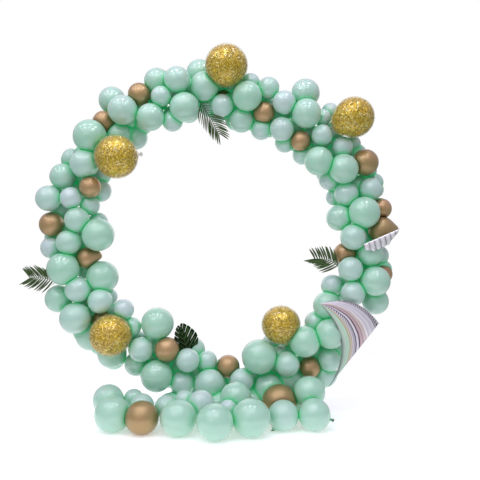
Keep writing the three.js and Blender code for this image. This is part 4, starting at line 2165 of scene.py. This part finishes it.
@dataclass
class Studio:
    """A pale floor in soft light, and the camera before it.

    Attributes:
        camera_at: The camera's place, in the row's frame.
        lens: Its focal length on a 36 mm wide sensor.
        floor_reach: How far the floor shows before it fades out, in metres.
    """

    camera_at: tuple[float, float, float] = (0.293844, -4.66, -1.221286)
    lens: float = 46.91
    floor_reach: float = 4.2

    def build(self) -> None:
        """Builds the floor, the lights and the camera."""
        self._floor()
        self._sky()
        white, cool = (1.0, 1.0, 1.0), (0.92, 0.92, 1.0)
        self._lamp("overhead", (0.2, -1.6, 1.6), (0.2, -0.3, -1.2), (3.4, 2.4), 12, cool)
        self._lamp("front", (-1.8, -5.0, 0.6), (0.1, 0, -1.2), (2.6, 2.6), 16, white)
        self._lamp("behind", (0.1, 1.6, -0.6), (0.1, 0, -1.2), (3.0, 2.0), 12, white)
        for column in range(4):
            for row in range(3):
                spot = (-4.6 + 2.2 * column, -5.6 + 2.2 * row, 3.4)
                tint = (0.96, 0.96, 1.0)
                self._lamp("ceiling_spot", spot, (0.1, -0.3, -1.2), (0.7, 0.7), 15, tint)
        self._camera()

    def _floor(self) -> None:
        """Lays a pale floor that fades out far from the garland."""
        deselect_all()
        at = (0.1, -0.4, RING.floor_height)
        bpy.ops.mesh.primitive_plane_add(size=2 * self.floor_reach, location=at)
        floor = bpy.context.object
        floor.name = "floor"
        glow = {"Emission Color": (1.0, 1.0, 1.0), "Emission Strength": 0.34}
        finish = Finish("pale_floor", {"Roughness": 0.7, **glow})
        desk = finish.desk
        film = finish.film(3.0, 90.0)
        pale = desk.blend(film["Cloud"], srgb(250, 250, 250), srgb(246, 246, 247))
        finish.set("Base Color", pale)
        away = desk.node("ShaderNodeVectorMath", operation="LENGTH")
        desk.feed(desk.place(), away.inputs[0])
        far = desk.math("DIVIDE", away.outputs["Value"], self.floor_reach)
        fade = desk.math("SUBTRACT", 1.3, desk.math("MULTIPLY", far, 1.4), clamp=True)
        finish.set("Alpha", fade)
        floor.data.materials.append(finish.material)

    def _sky(self) -> None:
        """Lights the room evenly, brighter from above."""
        world = bpy.data.worlds.new("studio")
        bpy.context.scene.world = world
        world.use_nodes = True
        desk = Desk(world.node_tree)
        background = world.node_tree.nodes["Background"]
        way = desk.node("ShaderNodeSeparateXYZ")
        desk.feed(desk.node("ShaderNodeTexCoord").outputs["Generated"], way.inputs[0])
        height = desk.math("MULTIPLY_ADD", way.outputs["Z"], 0.5, 0.5)
        light = desk.ramp(
            height,
            (
                (0.0, (0.3, 0.42, 0.35)),
                (0.48, (0.33, 0.38, 0.36)),
                (0.62, (0.46, 0.44, 0.5)),
                (1.0, (0.7, 0.66, 0.8)),
            ),
        )
        seen = desk.node("ShaderNodeLightPath").outputs["Is Camera Ray"]
        desk.feed(desk.blend(seen, light, (1.0, 1.0, 1.0)), background.inputs["Color"])

    def _lamp(
        self,
        name: str,
        at: tuple[float, float, float],
        toward: tuple[float, float, float],
        size: tuple[float, float],
        power: float,
        colour: Colour,
    ) -> None:
        """Adds a soft lamp.

        Args:
            name: The lamp's name.
            at: Its place.
            toward: What it points at.
            size: Its width and height, in metres.
            power: Its power, in watts.
            colour: Its colour.
        """
        light = bpy.data.lights.new(name, "AREA")
        light.shape = "RECTANGLE"
        light.size, light.size_y = size
        light.energy = power
        light.color = colour
        lamp = bpy.data.objects.new(name, light)
        lamp.location = at
        lamp.rotation_euler = (Vector(toward) - Vector(at)).to_track_quat("-Z", "Y").to_euler()
        bpy.context.scene.collection.objects.link(lamp)

    def _camera(self) -> None:
        """Sets the camera level, facing the wall."""
        camera = bpy.data.cameras.new("camera")
        camera.sensor_width = 36
        camera.lens = self.lens
        seat = bpy.data.objects.new("camera", camera)
        level = Matrix.Rotation(math.pi / 2, 4, "X")
        seat.matrix_world = Matrix.Translation(self.camera_at) @ level
        bpy.context.scene.collection.objects.link(seat)
        bpy.context.scene.camera = seat


def check_layout(layout: Layout) -> None:
    """Warns where a balloon node lies elsewhere than this layout says.

    Args:
        layout: All the balloons.
    """
    for node in {ball.node for ball in layout.balls}:
        low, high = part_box(node)
        balls = [ball for ball in layout.balls if ball.node == node]
        middle = (np.array(low) + np.array(high)) / 2
        span = np.array(high) - np.array(low)
        nearest = min(float(np.linalg.norm(ball.centre - middle)) for ball in balls)
        if nearest > float(np.linalg.norm(span)):
            log.warning("%s lies elsewhere than the layout says", node)


def main() -> None:
    """Builds the garland, its floor and its lights, in order."""
    logging.basicConfig(level=logging.INFO, format="%(message)s")
    bpy.context.scene.view_settings.view_transform = "Standard"
    layout = Layout(RING)
    check_layout(layout)
    BalloonWork(layout).build()
    ConfettiFill().build(layout)
    green = LeafGreen().build()
    for place in PALM_LEAVES:
        PalmLeaf(place).build(green, layout)
    MonsteraLeaf(MONSTERA_LEAF).build(green, layout)
    MarbledBalloon().build()
    ScallopedRim().build()
    Studio().build()
    deselect_all()


if __name__ == "__main__":
    main()
